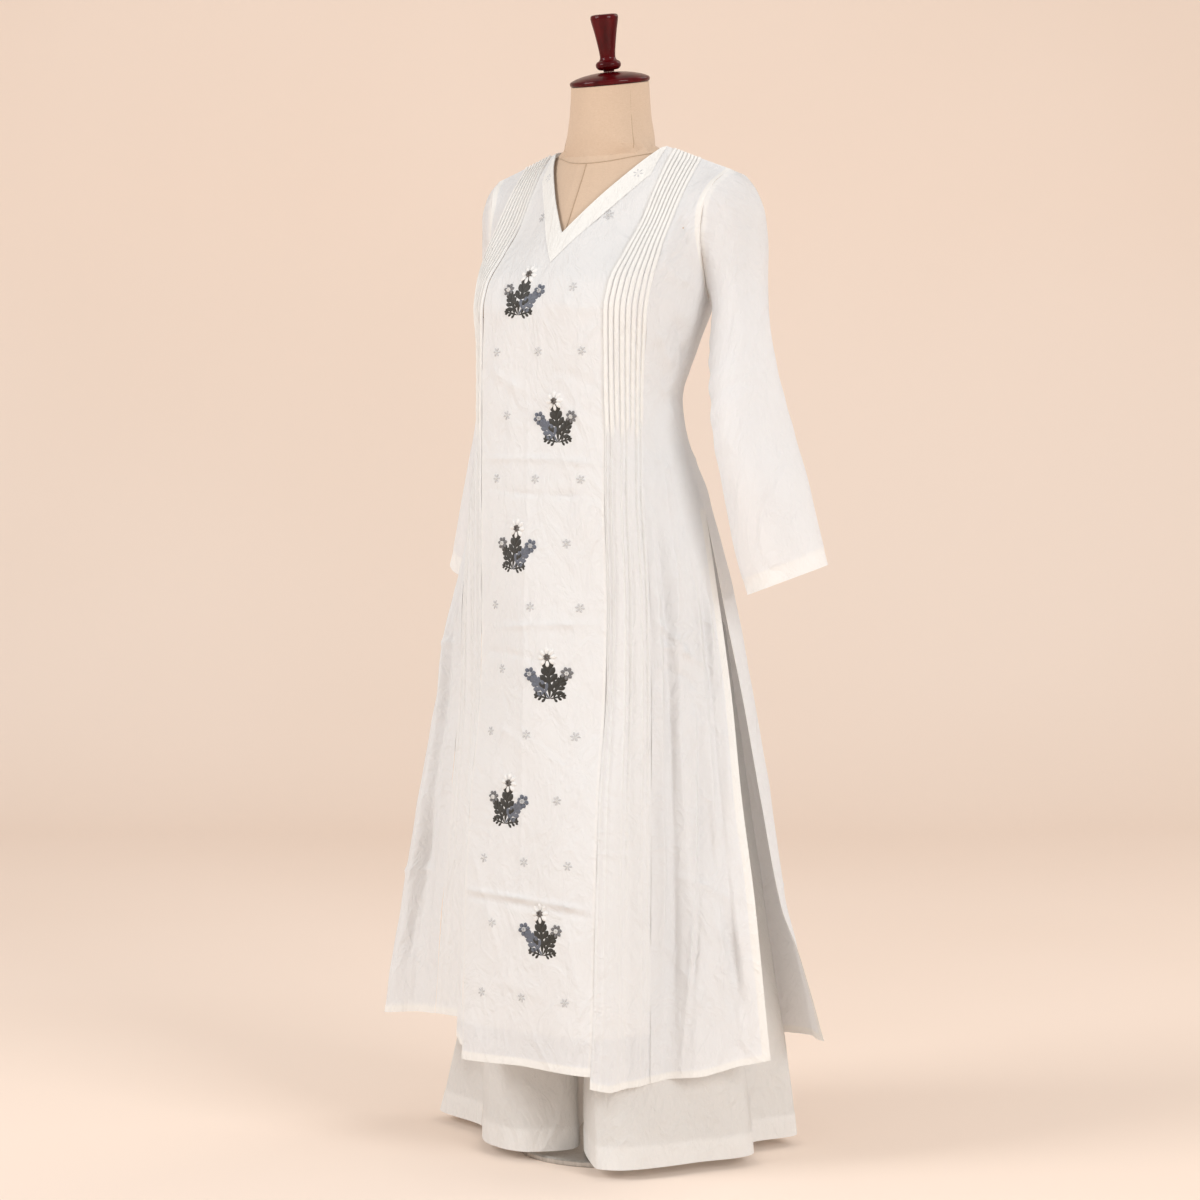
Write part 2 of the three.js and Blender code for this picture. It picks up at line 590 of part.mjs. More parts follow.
// Columns of the form: the neck stands on the middle ones, the shoulders close over the outer ones.
const neckFront = [0, 0.15, 0.3, 0.45, 0.6, 0.74, neckPlace];
const ridgeFront = [1.25, 1.6, 2, 2.6, 3.3, 3.9];
const shoulderLength = shoulderTipX - neckPointHalfWidth;
const ridgeBack = ridgeFront.map((place) => 4 + (shoulderTipX - shoulderReach(place)) / shoulderLength);
const neckBack = [5, 5.2, 5.4, 5.6, 5.8, 6];
const evenly = (places, half, start, end) => places.map((place, i) => (
  { place, half, sign: 1, angle: mix(start, end, i / (places.length - 1)) }
));
const frontColumns = evenly([...neckFront, ...ridgeFront], "front", 0, 1.49);
const backColumns = evenly([...ridgeBack.slice().reverse(), ...neckBack], "back", 1.65, Math.PI);
const flipped = (column) => ({ ...column, sign: -1, angle: -column.angle });

const formTopAt = ({ place }) => (place < neckPlace ? 1291 : topHeight(place) - 6);

function formPoint(column, level) {
  const { place, half, sign, angle } = column;
  if (level < formSections.length) {
    const z = formSections[level][0];
    const [x, y] = formPlan(z, angle);
    return new THREE.Vector3(x, y, z);
  }
  const share = formTopShares[level - formSections.length];
  const z = mix(1085, formTopAt(column), share);
  const side = sign > 0 ? "left" : "right";
  const snug = place >= neckPlace && place <= 5 ? smooth((share - 0.75) / 0.25) : 0;
  const inset = clothThickness + mix(formClearance, half === "front" ? 0.5 : 2.4, snug);
  return kurtaPoint(side, half, place, z).addScaledVector(kurtaNormal(side, half, place, z), -inset);
}

// Solid skinned over rings of equal length, closed by a fan at each end.
function skinned(rings) {
  const count = rings[0].length;
  const positions = rings.flat().flatMap((p) => p.toArray());
  const indices = [];
  for (let r = 0; r < rings.length - 1; r += 1) {
    for (let i = 0; i < count; i += 1) {
      const a = r * count + i;
      const b = r * count + ((i + 1) % count);
      indices.push(a, b, b + count, a, b + count, a + count);
    }
  }
  const centreOf = (ring) => ring.reduce((sum, p) => sum.add(p), new THREE.Vector3()).divideScalar(count);
  [[0, true], [rings.length - 1, false]].forEach(([r, low]) => {
    const middle = positions.length / 3;
    positions.push(...centreOf(rings[r]).toArray());
    for (let i = 0; i < count; i += 1) {
      const a = r * count + i;
      const b = r * count + ((i + 1) % count);
      indices.push(...(low ? [b, a, middle] : [a, b, middle]));
    }
  });
  const geometry = new THREE.BufferGeometry();
  geometry.setAttribute("position", new THREE.Float32BufferAttribute(positions, 3));
  geometry.setIndex(indices);
  return geometry;
}

const formColumns = [
  ...frontColumns, ...backColumns,
  ...backColumns.slice(0, -1).reverse().map(flipped), ...frontColumns.slice(1).reverse().map(flipped),
];
const isNeck = ({ place }) => place <= neckPlace || place >= 5;

// Body skinned ring by ring; the shoulders close along the ridge and the neck goes on from the middle.
function bodyGeometry(levels, neckRings) {
  const positions = [];
  const indices = [];
  const addRing = (points) => {
    const base = positions.length / 3;
    points.forEach((p) => positions.push(...p.toArray()));
    return points.map((_, i) => base + i);
  };
  const quad = (a, b, c, d) => indices.push(a, b, c, a, c, d);
  const join = (low, high) => low.forEach((a, i) => {
    const next = (i + 1) % low.length;
    quad(a, low[next], high[next], high[i]);
  });
  const fan = (ring, centre, up) => {
    const [middle] = addRing([centre]);
    ring.forEach((a, i) => {
      const b = ring[(i + 1) % ring.length];
      indices.push(...(up ? [a, b, middle] : [b, a, middle]));
    });
  };
  const rings = levels.map(addRing);
  rings.slice(1).forEach((ring, r) => join(rings[r], ring));
  fan(rings[0], new THREE.Vector3(0, 0, levels[0][0].z), false);
  const top = rings[rings.length - 1];
  const half = formColumns.length / 2;
  const last = frontColumns.length - 1;
  const first = neckFront.length - 1;
  for (let i = first; i < last; i += 1) {
    const facing = 2 * last + 1 - i;
    quad(top[i], top[i + 1], top[facing - 1], top[facing]);
    const mirror = (k) => top[(2 * half - k) % (2 * half)];
    quad(mirror(i + 1), mirror(i), mirror(facing), mirror(facing - 1));
  }
  let below = top.filter((_, i) => isNeck(formColumns[i]));
  neckRings.forEach((points) => {
    const ring = addRing(points);
    join(below, ring);
    below = ring;
  });
  const collar = neckRings[neckRings.length - 1];
  fan(below, collar.reduce((sum, p) => sum.clone().add(p)).divideScalar(collar.length), true);
  const geometry = new THREE.BufferGeometry();
  geometry.setAttribute("position", new THREE.Float32BufferAttribute(positions, 3));
  geometry.setIndex(indices);
  return geometry;
}

// The neck leans forward to the cap; the cap and its knob share that lean.
const capTilt = 0.157;
const capCentre = new THREE.Vector3(0, 0, 1383);
const tilted = (x, y, z) => new THREE.Vector3(x, y, z)
  .applyAxisAngle(new THREE.Vector3(1, 0, 0), capTilt).add(capCentre);
const neckSections = [[1302, 0, 62, 49], [1316, 2, 58, 52], [1342, 1, 53, 50]];
const formLevels = Array.from({ length: formSections.length + formTopShares.length }, (_, level) => (
  formColumns.map((column) => formPoint(column, level))
));
const neckColumns = formColumns.filter(isNeck);
const neckAngle = (i) => (2 * Math.PI * i) / neckColumns.length;
const neckRings = neckSections.map(([z, middle, width, depth]) => neckColumns.map((_, i) => (
  new THREE.Vector3(width * Math.sin(neckAngle(i)), middle - depth * Math.cos(neckAngle(i)), z)
)));
const neckTopRadius = 50;
neckRings.push(neckColumns.map((_, i) => (
  tilted(neckTopRadius * Math.sin(neckAngle(i)), -neckTopRadius * Math.cos(neckAngle(i)), -1)
)));
add("form_torso", bodyGeometry(formLevels, neckRings), "linen");

const turn = (count) => Array.from({ length: count }, (_, i) => (2 * Math.PI * i) / count);

// Turned pieces above the neck: rows of radius and height along the tilted axis.
const turned = (profile, count) => skinned(profile.map(([radius, height]) => turn(count)
  .map((angle) => tilted(radius * Math.sin(angle), -radius * Math.cos(angle), height))));
add("form_cap", turned([
  [46, -0.6], [51, 0.4], [52, 3], [50, 6], [42, 9.5], [30, 12.5], [16, 14.5], [8, 15],
], 32), "lacquer");
add("form_knob", turned([
  [7, 15.3], [7, 17], [13, 18.5], [16, 22], [16.3, 25], [14, 28.5], [10.5, 31], [10, 34], [11.5, 48],
  [14.5, 66], [17.8, 82], [18, 85], [16, 87.5], [9, 89],
], 24), "lacquer");

// Stand under the form: a post down the wearer's left leg into a flat round foot.
const upright = (profile, count) => skinned(profile.map(([radius, z]) => turn(count)
  .map((angle) => new THREE.Vector3(radius * Math.sin(angle), -radius * Math.cos(angle), z))));
add("stand_post", upright([[poleRadius, baseThickness + seamGap], [poleRadius, 765 - seamGap]], 20), "steel");
add("stand_foot", upright([
  [baseRadius - 1.5, 0], [baseRadius, 1.5], [baseRadius, baseThickness - 2], [baseRadius - 3, baseThickness],
], 40), "steel");

// Waistband of the trousers, snug on the form.
const waistColumns = (clearance) => formColumns.map(({ angle }) => [waistBandBottom, waistTop].map((z) => {
  const [x, y] = formPlan(z, angle, clearance);
  return new THREE.Vector3(x, y, z);
}));
add("trouser_waistband", wallGeometry(
  formColumns.length, 2, waistColumns(2.4), waistColumns(0.6), true, false,
), "cloth");

// Trouser hems in plan, from the inner seam over the front to the side and round the back to the inner seam.
const legHems = {
  left: [
    [-22, -6], [84, -152], [123, -139], [168, -60], [204, 20], [168, 78],
    [192, 150], [140, 176], [80, 170], [14, 118],
  ],
  right: [
    [-56, 6], [-2, -78], [-40, -131], [-85, -129], [-126, -108], [-178, -42],
    [-286, 6], [-240, 92], [-170, 132], [-104, 86],
  ],
};
// The same places where each leg starts below the body.
const legTops = {
  left: [
    [-29, 0], [-6, -72], [52, -108], [112, -98], [150, -50], [158, 4],
    [140, 58], [101, 94], [50, 104], [-6, 78],
  ],
  right: [
    [-31, 0], [-56, -72], [-84, -106], [-122, -92], [-150, -50], [-158, 4],
    [-140, 58], [-104, 94], [-84, 102], [-56, 78],
  ],
};

// Places 0 to 5 run from the inner seam over the front to the side, 5 to 10 back to the inner seam.
function legPlan(side, place, z) {
  const ringAt = (knots) => {
    const knot = (i) => knots[(i + 10) % 10];
    const index = Math.min(9, Math.floor(place));
    return acrossKnots([knot(index - 1), knot(index), knot(index + 1), knot(index + 2)], 1, place - index);
  };
  if (z <= crotchHeight) {
    const down = (crotchHeight - z) / (crotchHeight - trouserHemHeight);
    return blend(ringAt(legTops[side]), ringAt(legHems[side]), down);
  }
  const sign = side === "left" ? 1 : -1;
  const innerAngle = Math.asin(-crotchX / 150) * -sign;
  const angle = place <= 5 ? mix(innerAngle, Math.PI / 2, place / 5)
    : mix(Math.PI / 2, Math.PI - innerAngle, (place - 5) / 5);
  const level = Math.max(z, 770);
  const [fx, fy] = formPlan(level, angle, 3.8 + 2.2 * smooth((925 - level) / 60));
  const drop = clamp((762 - z) / (762 - crotchHeight));
  const fromInner = Math.min(place, 10 - place);
  const eased = mix(1 - Math.sqrt(1 - drop ** 2), drop ** 2, clamp(fromInner));
  return blend([sign * fx, fy], ringAt(legTops[side]), eased);
}

function legNormal(side, place, z) {
  const at = (p, h) => {
    const [x, y] = legPlan(side, p, h);
    return new THREE.Vector3(x, y, h);
  };
  const above = z > crotchHeight;
  const wrap = (p) => (above ? Math.min(10, Math.max(0, p)) : (p + 10) % 10);
  const along = at(wrap(place + 0.15), z).sub(at(wrap(place - 0.15), z));
  const up = at(place, Math.min(waistBandBottom, z + 4)).sub(at(place, Math.max(trouserHemHeight, z - 4)));
  return along.cross(up).multiplyScalar(side === "left" ? 1 : -1).normalize();
}

const legTopHeight = waistBandBottom - 0.4;
const legHeights = [
  ...span(trouserHemHeight, crotchHeight - 15, 6), crotchHeight, 700, 725, 760, 800, 860, legTopHeight,
];

function addLegPanel(name, side, from, to) {
  const outside = [];
  const inside = [];
  span(from, to, 9).forEach((place) => {
    const outer = [];
    const inner = [];
    legHeights.forEach((z) => {
      const [x, y] = legPlan(side, place, z);
      const point = new THREE.Vector3(x, y, z);
      const normal = legNormal(side, place, z);
      outer.push(point);
      inner.push(point.clone().addScaledVector(normal, -clothThickness));
    });
    outside.push(outer);
    inside.push(inner);
  });
  const outer = trimColumns(outside, true, true);
  const inner = trimColumns(inside, true, true);
  add(name, wallGeometry(outer.length, outer[0].length, outer, inner, false, side === "right"), "cloth");
}
addLegPanel("trouser_front_left", "left", 0, 5);
addLegPanel("trouser_back_left", "left", 5, 10);
addLegPanel("trouser_front_right", "right", 0, 5);
addLegPanel("trouser_back_right", "right", 5, 10);

export default group;
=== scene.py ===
"""Studio view of a long voile kurta with pin tucks over wide trousers, on a linen dress form.

Garment tables are in millimetres; meshes are made in metres. The front faces -Y, the wearer's left is +X
and the origin is the middle of the stand's underside.
"""

import json
import logging
import math
from dataclasses import dataclass, field
from enum import Enum
from typing import Callable, Sequence

import bpy
import numpy as np
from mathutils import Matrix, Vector
from mathutils.bvhtree import BVHTree

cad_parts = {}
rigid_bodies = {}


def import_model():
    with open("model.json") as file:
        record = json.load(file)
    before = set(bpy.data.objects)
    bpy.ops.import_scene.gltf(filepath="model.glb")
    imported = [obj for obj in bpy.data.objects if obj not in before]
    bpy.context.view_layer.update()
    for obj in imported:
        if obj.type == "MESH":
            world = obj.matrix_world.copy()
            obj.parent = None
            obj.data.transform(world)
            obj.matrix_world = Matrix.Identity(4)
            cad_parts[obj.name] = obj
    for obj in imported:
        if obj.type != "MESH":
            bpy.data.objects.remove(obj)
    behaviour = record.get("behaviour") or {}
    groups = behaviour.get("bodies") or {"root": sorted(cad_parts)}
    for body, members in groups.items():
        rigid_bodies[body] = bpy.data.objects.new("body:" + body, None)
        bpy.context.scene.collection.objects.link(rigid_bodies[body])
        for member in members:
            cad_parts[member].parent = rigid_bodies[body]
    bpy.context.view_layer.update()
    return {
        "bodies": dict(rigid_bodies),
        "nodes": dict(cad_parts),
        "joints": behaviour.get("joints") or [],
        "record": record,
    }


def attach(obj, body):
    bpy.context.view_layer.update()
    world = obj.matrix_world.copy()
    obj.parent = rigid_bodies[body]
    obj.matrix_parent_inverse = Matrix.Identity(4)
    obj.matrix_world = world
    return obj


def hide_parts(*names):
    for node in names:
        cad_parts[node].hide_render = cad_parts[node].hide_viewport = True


LOG = logging.getLogger("kurta")
Array = np.ndarray
MM = 0.001

# Driving sizes of the cut, in millimetres
NECK_APEX = 1186.0
NECK_POINT_X = 85.0
NECK_POINT_Z = 1299.0
SHOULDER_SLOPE = 0.347
SHOULDER_Y = 5.0
SHOULDER_TIP_X = 183.0
UNDERARM = 1098.0
SLIT_TOP = 836.0
TUCKS = 8
TUCK_HEIGHT = 2.5
TUCK_END = 925.0
TROUSER_HEM = 13.0
CROTCH = 685.0
CROTCH_X = -30.0
BAND_LOW = 930.0
BAND_HIGH = 965.0
LINING_END = 180.0
ROLLED_HEM = 10.0
CUFF_HEM = 22.0
TROUSER_HEM_BAND = 30.0
CENTRE_HALF = 97.0
BACK_NECK = 1288.0
FOLDS_FULL = 150.0
PLEAT_HEIGHT = 3.4
BAND_DROP = 39.0
HEM_LIFT = 0.55
TROUSER_TOP = 929.6
SPRAY_FOOT = 34.0

# Shares and factors, and how far from the axis the form's rays start, in metres
NECK_PLACE = NECK_POINT_X / CENTRE_HALF
CENTRE_CREASING = 1.7
SIDE_CREASING = 1.8
HALF_PI = math.pi / 2
RAY_START = 0.4


class Side(Enum):
    """The wearer's side."""

    LEFT = 1
    RIGHT = -1

    @property
    def other(self) -> "Side":
        """The opposite side."""
        return Side.RIGHT if self is Side.LEFT else Side.LEFT

    @property
    def label(self) -> str:
        """The side's name as the frame's nodes write it."""
        return self.name.lower()


class Half(Enum):
    """Front or back of the kurta."""

    FRONT = "front"
    BACK = "back"


def smooth(t: Array) -> Array:
    """Eases t from 0 to 1.

    Args:
        t: any numbers; what lies outside 0 to 1 is cut off.

    Returns:
        Three times the square less twice the cube of each number.
    """
    t = np.clip(t, 0.0, 1.0)
    return t * t * (3 - 2 * t)


def mix(a: Array, b: Array, t: Array) -> Array:
    """Straight mix of a and b by t."""
    return a + (b - a) * t


def cubic(start: Array, end: Array, leave: Array, arrive: Array, t: Array) -> Array:
    """The cubic from start to end that leaves and arrives with the given slopes."""
    t2, t3 = t * t, t * t * t
    ends = (2 * t3 - 3 * t2 + 1) * start + (3 * t2 - 2 * t3) * end
    return ends + (t3 - 2 * t2 + t) * leave + (t3 - t2) * arrive


class Line:
    """A seam or fold line in space: distance from the middle and depth as smooth functions of height."""

    def __init__(self, rows: Sequence[Sequence[float]]) -> None:
        """Takes rows of height and values, lowest first, and finds slopes that never overshoot."""
        table = np.array(rows, float)
        self.z, self.values = table[:, 0], table[:, 1:]
        steps = np.diff(self.values, axis=0) / np.diff(self.z)[:, None]
        before, after = steps[:-1], steps[1:]
        same = before * after > 0
        safe = np.where(same, before * after, 1.0)
        inner = np.where(same, 2 * safe / np.where(same, before + after, 1.0), 0.0)
        self.slopes = np.vstack([steps[:1], inner, steps[-1:]])

    def at(self, z: Array) -> Array:
        """Values at each height: the cubic through two rows with the slopes there.

        Args:
            z: heights of any shape.

        Returns:
            The values, in one more axis at the end.
        """
        z = np.asarray(z, float)
        i = np.clip(np.searchsorted(self.z, z, side="left") - 1, 0, len(self.z) - 2)
        span = (self.z[i + 1] - self.z[i])[..., None]
        t = np.clip((z[..., None] - self.z[i][..., None]) / span, 0.0, 1.0)
        return cubic(self.values[i], self.values[i + 1], self.slopes[i] * span, self.slopes[i + 1] * span, t)


def across(knots: Array, index: Array, t: Array) -> Array:
    """Points on a curve through knots, with slopes set by the knots' spacing.

    Args:
        knots: knots along the first axis, then the shape of index, then x and y.
        index: which knot each point starts from.
        t: how far each point is from that knot to the next, from 0 to 1.

    Returns:
        One point for each index.
    """
    around = [np.take_along_axis(knots, (index + k)[None, ..., None], axis=0)[0] for k in (-1, 0, 1, 2)]
    spans = [
        np.maximum(1.0, np.linalg.norm(q - p, axis=-1, keepdims=True)) for p, q in zip(around, around[1:])
    ]
    before, start, end, after = around
    leave = (end - before) / (spans[0] + spans[1]) * spans[1]
    arrive = (after - start) / (spans[1] + spans[2]) * spans[1]
    return cubic(start, end, leave, arrive, t[..., None])


FRONT_ARMHOLE = [
    (1098, 155, -3), (1110, 158, -11), (1128, 160.5, -20), (1152, 162, -30),
    (1186, 163.5, -37), (1220, 167, -34), (1248, 174, -20), (1265, 183, 5),
]
BACK_ARMHOLE = [
    (1098, 155, -3), (1110, 158, 14), (1128, 161, 37), (1152, 163, 57),
    (1186, 166, 68), (1220, 169, 62), (1248, 176, 36), (1265, 183, 5),
]
CENTRE = [
    (100, 0, -193), (230, 0, -192.5), (320, 0, -191), (470, 0, -186), (600, 0, -181), (720, 0, -174),
    (850, 0, -165), (930, 0, -158.5), (975, 0, -158), (1085, 0, -156.5), (1120, 0, -146), (1160, 0, -122),
    (1200, 0, -97), (1240, 0, -76), (1270, 0, -60), (1310, 0, -46),
]
SPINE = [
    (100, 0, 197), (320, 0, 180), (470, 0, 166), (600, 0, 150), (720, 0, 125), (850, 0, 84), (930, 0, 52),
    (975, 0, 46), (1040, 0, 66), (1085, 0, 84), (1120, 0, 94), (1160, 0, 98), (1200, 0, 95), (1240, 0, 86),
    (1270, 0, 76), (1310, 0, 58),
]
PANEL_SEAM = [
    (100, 99, -187), (230, 102, -181), (320, 102, -178), (470, 100, -168), (600, 98, -150), (720, 98, -146),
    (850, 96, -149), (930, 96, -148), (975, 95, -149), (1085, 93.5, -148.5), (1120, 94, -138),
    (1160, 94.5, -103), (1200, 95, -66), (1240, 96, -40), (1270, 97, -20), (1300, 97, 6),
]
UPPER_TUCK = [
    (1085, 134, -110), (1120, 136.5, -103), (1160, 138, -86), (1200, 138.5, -60), (1240, 139, -32),
    (1280, 139, 0),
]
UPPER_FLANK = [
    (1040, 139, -54), (1085, 151, -56), (1120, 152, -58), (1160, 152, -58), (1200, 154, -47),
    (1240, 158, -27), (1272, 161, 2),
]
UPPER_BLADE = [
    (850, 98, 76), (930, 82, 46), (975, 76, 39), (1040, 88, 58), (1085, 98, 74), (1120, 104, 84),
    (1160, 106, 89), (1200, 104, 85), (1240, 100, 66), (1270, 93, 38), (1300, 85, 8),
]
SIDE_LINES: dict[Side, dict[str, list[tuple[float, float, float]]]] = {
    Side.LEFT: {
        "tuck": [
            (100, 138, -110), (600, 140, -110), (720, 138, -110), (850, 128, -108), (930, 121, -100),
            (975, 121, -100), (1040, 128, -106), *UPPER_TUCK,
        ],
        "flank": [
            (100, 193, -62), (320, 185, -62), (470, 178, -62), (600, 172, -62), (720, 162, -61),
            (850, 143, -58), (930, 128, -54), (975, 122, -52), *UPPER_FLANK,
        ],
        "slit_front": [
            (100, 258, -8), (230, 250, -20), (320, 242, -24), (470, 218, -22), (600, 197, -14),
            (720, 174, -9),
        ],
        "slit_back": [
            (100, 264, 122), (150, 261, 106), (266, 250, 64), (333, 236, 41), (469, 215, 25), (587, 199, 11),
            (720, 176, -3),
        ],
        "side": [(836, 150, -6), (870, 140, -6), (930, 120, -7), (975, 115, -6), (1040, 135, -4)],
        "blade": [
            (100, 152, 184), (320, 140, 168), (470, 132, 155), (600, 122, 138), (720, 112, 116), *UPPER_BLADE,
        ],
    },
    Side.RIGHT: {
        "tuck": [
            (100, 190, -126), (320, 174, -124), (470, 162, -121), (600, 153, -119), (720, 147, -120),
            (850, 136, -116), (930, 128, -106), (975, 127, -105), (1040, 129, -107), *UPPER_TUCK,
        ],
        "flank": [
            (100, 288, -112), (178, 281, -107), (320, 262, -96), (470, 236, -92), (600, 212, -88),
            (720, 186, -82), (850, 146, -68), (930, 129, -58), (975, 123, -54), *UPPER_FLANK,
        ],
        "slit_front": [(100, 300, -42), (320, 274, -26), (470, 246, -22), (600, 217, -16), (720, 184, -10)],
        "slit_back": [
            (100, 304, 84), (266, 280, 52), (333, 264, 36), (469, 241, 18), (587, 215, 4), (720, 186, -4),
        ],
        "side": [(836, 152, -7), (870, 141, -7), (930, 120.5, -7), (975, 115, -6), (1040, 135, -4)],
        "blade": [
            (100, 172, 186), (320, 154, 169), (470, 142, 156), (600, 129, 138), (720, 116, 116), *UPPER_BLADE,
        ],
    },
}
HANGING_FOLDS: dict[Side, list[tuple[float, float, float, float]]] = {
    Side.LEFT: [
        (1.35, 0.22, 5, 900), (1.78, 0.2, 6, 880), (2.35, 0.3, -7, 900), (2.9, 0.34, 6, 860),
        (3.5, 0.3, -6, 800), (4.5, 0.3, 9, 850), (5.0, 0.28, -8, 900), (5.45, 0.26, 9, 880),
        (5.8, 0.22, -7, 900),
    ],
    Side.RIGHT: [
        (1.5, 0.3, -14, 880), (2.05, 0.24, 6, 900), (2.5, 0.28, -6, 900), (3.0, 0.3, 6, 860),
        (3.6, 0.3, -7, 820), (4.4, 0.3, 8, 850), (4.85, 0.28, -9, 880), (5.3, 0.26, 8, 900),
        (5.7, 0.24, -8, 880),
    ],
}


@dataclass
class KurtaForm:
    """The kurta's outside as a function of place and height.

    Places run round the body: 0 front middle, 1 panel seam, 2 outer tuck, 3 flank, 4 side, 5 blade, 6 spine.
    """

    lines: dict[Side, dict[str, Line]] = field(default_factory=dict)

    def __post_init__(self) -> None:
        """Builds the lines of both sides from their tables."""
        for side, tables in SIDE_LINES.items():
            self.lines[side] = {
                "centre": Line(CENTRE), "spine": Line(SPINE), "seam": Line(PANEL_SEAM),
                "tuck": Line(tables["tuck"]), "flank": Line(tables["flank"]), "blade": Line(tables["blade"]),
                "side_front": Line([*tables["slit_front"], *tables["side"], *FRONT_ARMHOLE]),
                "side_back": Line([*tables["slit_back"], *tables["side"], *BACK_ARMHOLE]),
            }

    def plan(self, side: Side, half: Half, place: Array, z: Array) -> Array:
        """Plan position at a place and height, before the shoulder and the hanging folds."""
        at = {name: line.at(z) for name, line in self.lines[side].items()}
        far = {name: line.at(z) * (-1, 1) for name, line in self.lines[side.other].items()}
        joined = smooth((z - SLIT_TOP + 10) / 40)[..., None]
        if half is Half.FRONT:
            after = mix(2 * at["side_front"] - at["flank"], at["blade"], joined)
            knots = [far["seam"], at["centre"], at["seam"], at["tuck"], at["flank"], at["side_front"], after]
            index = np.minimum(3, np.floor(place)).astype(int)
            return across(np.stack(knots), index + 1, place - index)
        before = mix(2 * at["side_back"] - at["blade"], at["flank"], joined)
        knots = [before, at["side_back"], at["blade"], at["spine"], far["blade"]]
        index = np.minimum(1, np.floor(place - 4)).astype(int)
        return across(np.stack(knots), index + 1, place - 4 - index)

    def reach(self, place: Array) -> Array:
        """Distance from the middle where a place meets the shoulder seam."""
        widths = [NECK_POINT_X, CENTRE_HALF, 139, 162, SHOULDER_TIP_X, NECK_POINT_X]
        return np.interp(place, [NECK_PLACE, 1, 2, 3, 4, 5], widths)

    def top(self, place: Array) -> Array:
        """Height of the neckline or shoulder seam at a place."""
        shoulder = NECK_POINT_Z - (self.reach(place) - NECK_POINT_X) * SHOULDER_SLOPE
        neck = mix(NECK_APEX, NECK_POINT_Z, place / NECK_PLACE)
        back = mix(NECK_POINT_Z, BACK_NECK, smooth(place - 5))
        return np.where(place < NECK_PLACE, neck, np.where(place > 5, back, shoulder))

    def folds(self, side: Side, place: Array, z: Array) -> Array:
        """Depth of the folds that hang below the waist: bell-shaped across and growing downwards."""
        depth = np.zeros_like(z)
        for middle, width, most, start in HANGING_FOLDS[side]:
            grown = smooth((start - z) / (start - FOLDS_FULL))
            depth += most * grown * np.exp(-2 * ((place - middle) / width) ** 2)
        return depth

    def point(self, signed: Array, half: Half, z: Array) -> Array:
        """Points of the outside.

        Args:
            signed: places, negative on the wearer's right.
            half: front or back.
            z: heights of the same shape.

        Returns:
            Points in millimetres, in one more axis at the end.
        """
        left = self._one_side(Side.LEFT, half, np.abs(signed), z)
        right = self._one_side(Side.RIGHT, half, np.abs(signed), z)
        return np.where((signed < 0)[..., None], right, left)

    def _one_side(self, side: Side, half: Half, place: Array, z: Array) -> Array:
        """Points of one side: the plan, drawn in to the shoulder seam at the top, plus the hanging folds."""
        xy = self.plan(side, half, place, z)
        top, reach = self.top(place), self.reach(place)
        seamed = (place >= NECK_PLACE) & (place <= 5)
        near = np.where(seamed, np.clip((z - top + 70) / 70, 0, None) ** 2, 0.0)[..., None]
        end = self.plan(side, half, place, top)
        xy = xy + (np.stack([reach, np.full_like(reach, SHOULDER_Y)], -1) - end) * near
        first, last = (0, 4) if half is Half.FRONT else (4, 6)
        ahead = self.plan(side, half, np.minimum(last, place + 0.02), z)
        behind = self.plan(side, half, np.maximum(first, place - 0.02), z)
        along = ahead - behind
        along /= np.maximum(1e-6, np.linalg.norm(along, axis=-1, keepdims=True))
        depth = self.folds(side, place, z)
        x = side.value * (xy[..., 0] + along[..., 1] * depth)
        return np.stack([x, xy[..., 1] - along[..., 0] * depth, z], -1)


SLEEVE_RINGS: dict[Side, list[tuple[float, ...]]] = {
    Side.LEFT: [
        (192, 1260, 159, 1099, 13, 52, 0), (205, 1246, 162, 1094, 12, 50, 0),
        (216, 1220, 163.5, 1086, 10, 48, 0), (221, 1182, 164, 1074, 8, 47, 0),
        (225, 1125, 163.5, 1056, 6, 48, 0), (233, 1066, 164.5, 1030, 4, 51, 0),
        (242, 1016, 166.5, 996, 4, 58, 0), (250, 972, 170.5, 955, 4, 64, 0.02),
        (258, 930, 177, 911, 6, 68, 0.05), (272.5, 878, 189, 853, 12, 69, 0.09),
        (285, 820, 199, 792, 21, 68, 0.13), (297, 763, 209, 733, 30, 66, 0.162),
    ],
    Side.RIGHT: [
        (190, 1259, 159, 1099, 15, 49, 0), (198, 1246, 162, 1094, 17, 45, 0),
        (203, 1220, 163.5, 1086, 19, 42, 0), (206, 1182, 164, 1074, 21, 41, 0),
        (211, 1125, 163.5, 1056, 25, 42, 0), (217, 1066, 164, 1030, 32, 44, 0),
        (224, 1016, 165, 996, 38, 46, 0), (232, 972, 167, 955, 42, 48, 0.02),
        (240, 930, 171, 911, 46, 50, 0.05), (256, 878, 182, 853, 51, 52, 0.09),
        (273, 820, 195, 792, 54, 55, 0.13), (289, 766, 207, 736, 56, 57, 0.16),
    ],
}
LEG_HEMS: dict[Side, list[tuple[float, float]]] = {
    Side.LEFT: [
        (-22, -6), (84, -152), (123, -139), (168, -60), (204, 20), (168, 78),
        (192, 150), (140, 176), (80, 170), (14, 118),
    ],
    Side.RIGHT: [
        (-56, 6), (-2, -78), (-40, -131), (-85, -129), (-126, -108), (-178, -42),
        (-286, 6), (-240, 92), (-170, 132), (-104, 86),
    ],
}
LEG_TOPS: dict[Side, list[tuple[float, float]]] = {
    Side.LEFT: [
        (-29, 0), (-6, -72), (52, -108), (112, -98), (150, -50), (158, 4),
        (140, 58), (101, 94), (50, 104), (-6, 78),
    ],
    Side.RIGHT: [
        (-31, 0), (-56, -72), (-84, -106), (-122, -92), (-150, -50), (-158, 4),
        (-140, 58), (-104, 94), (-84, 102), (-56, 78),
    ],
}
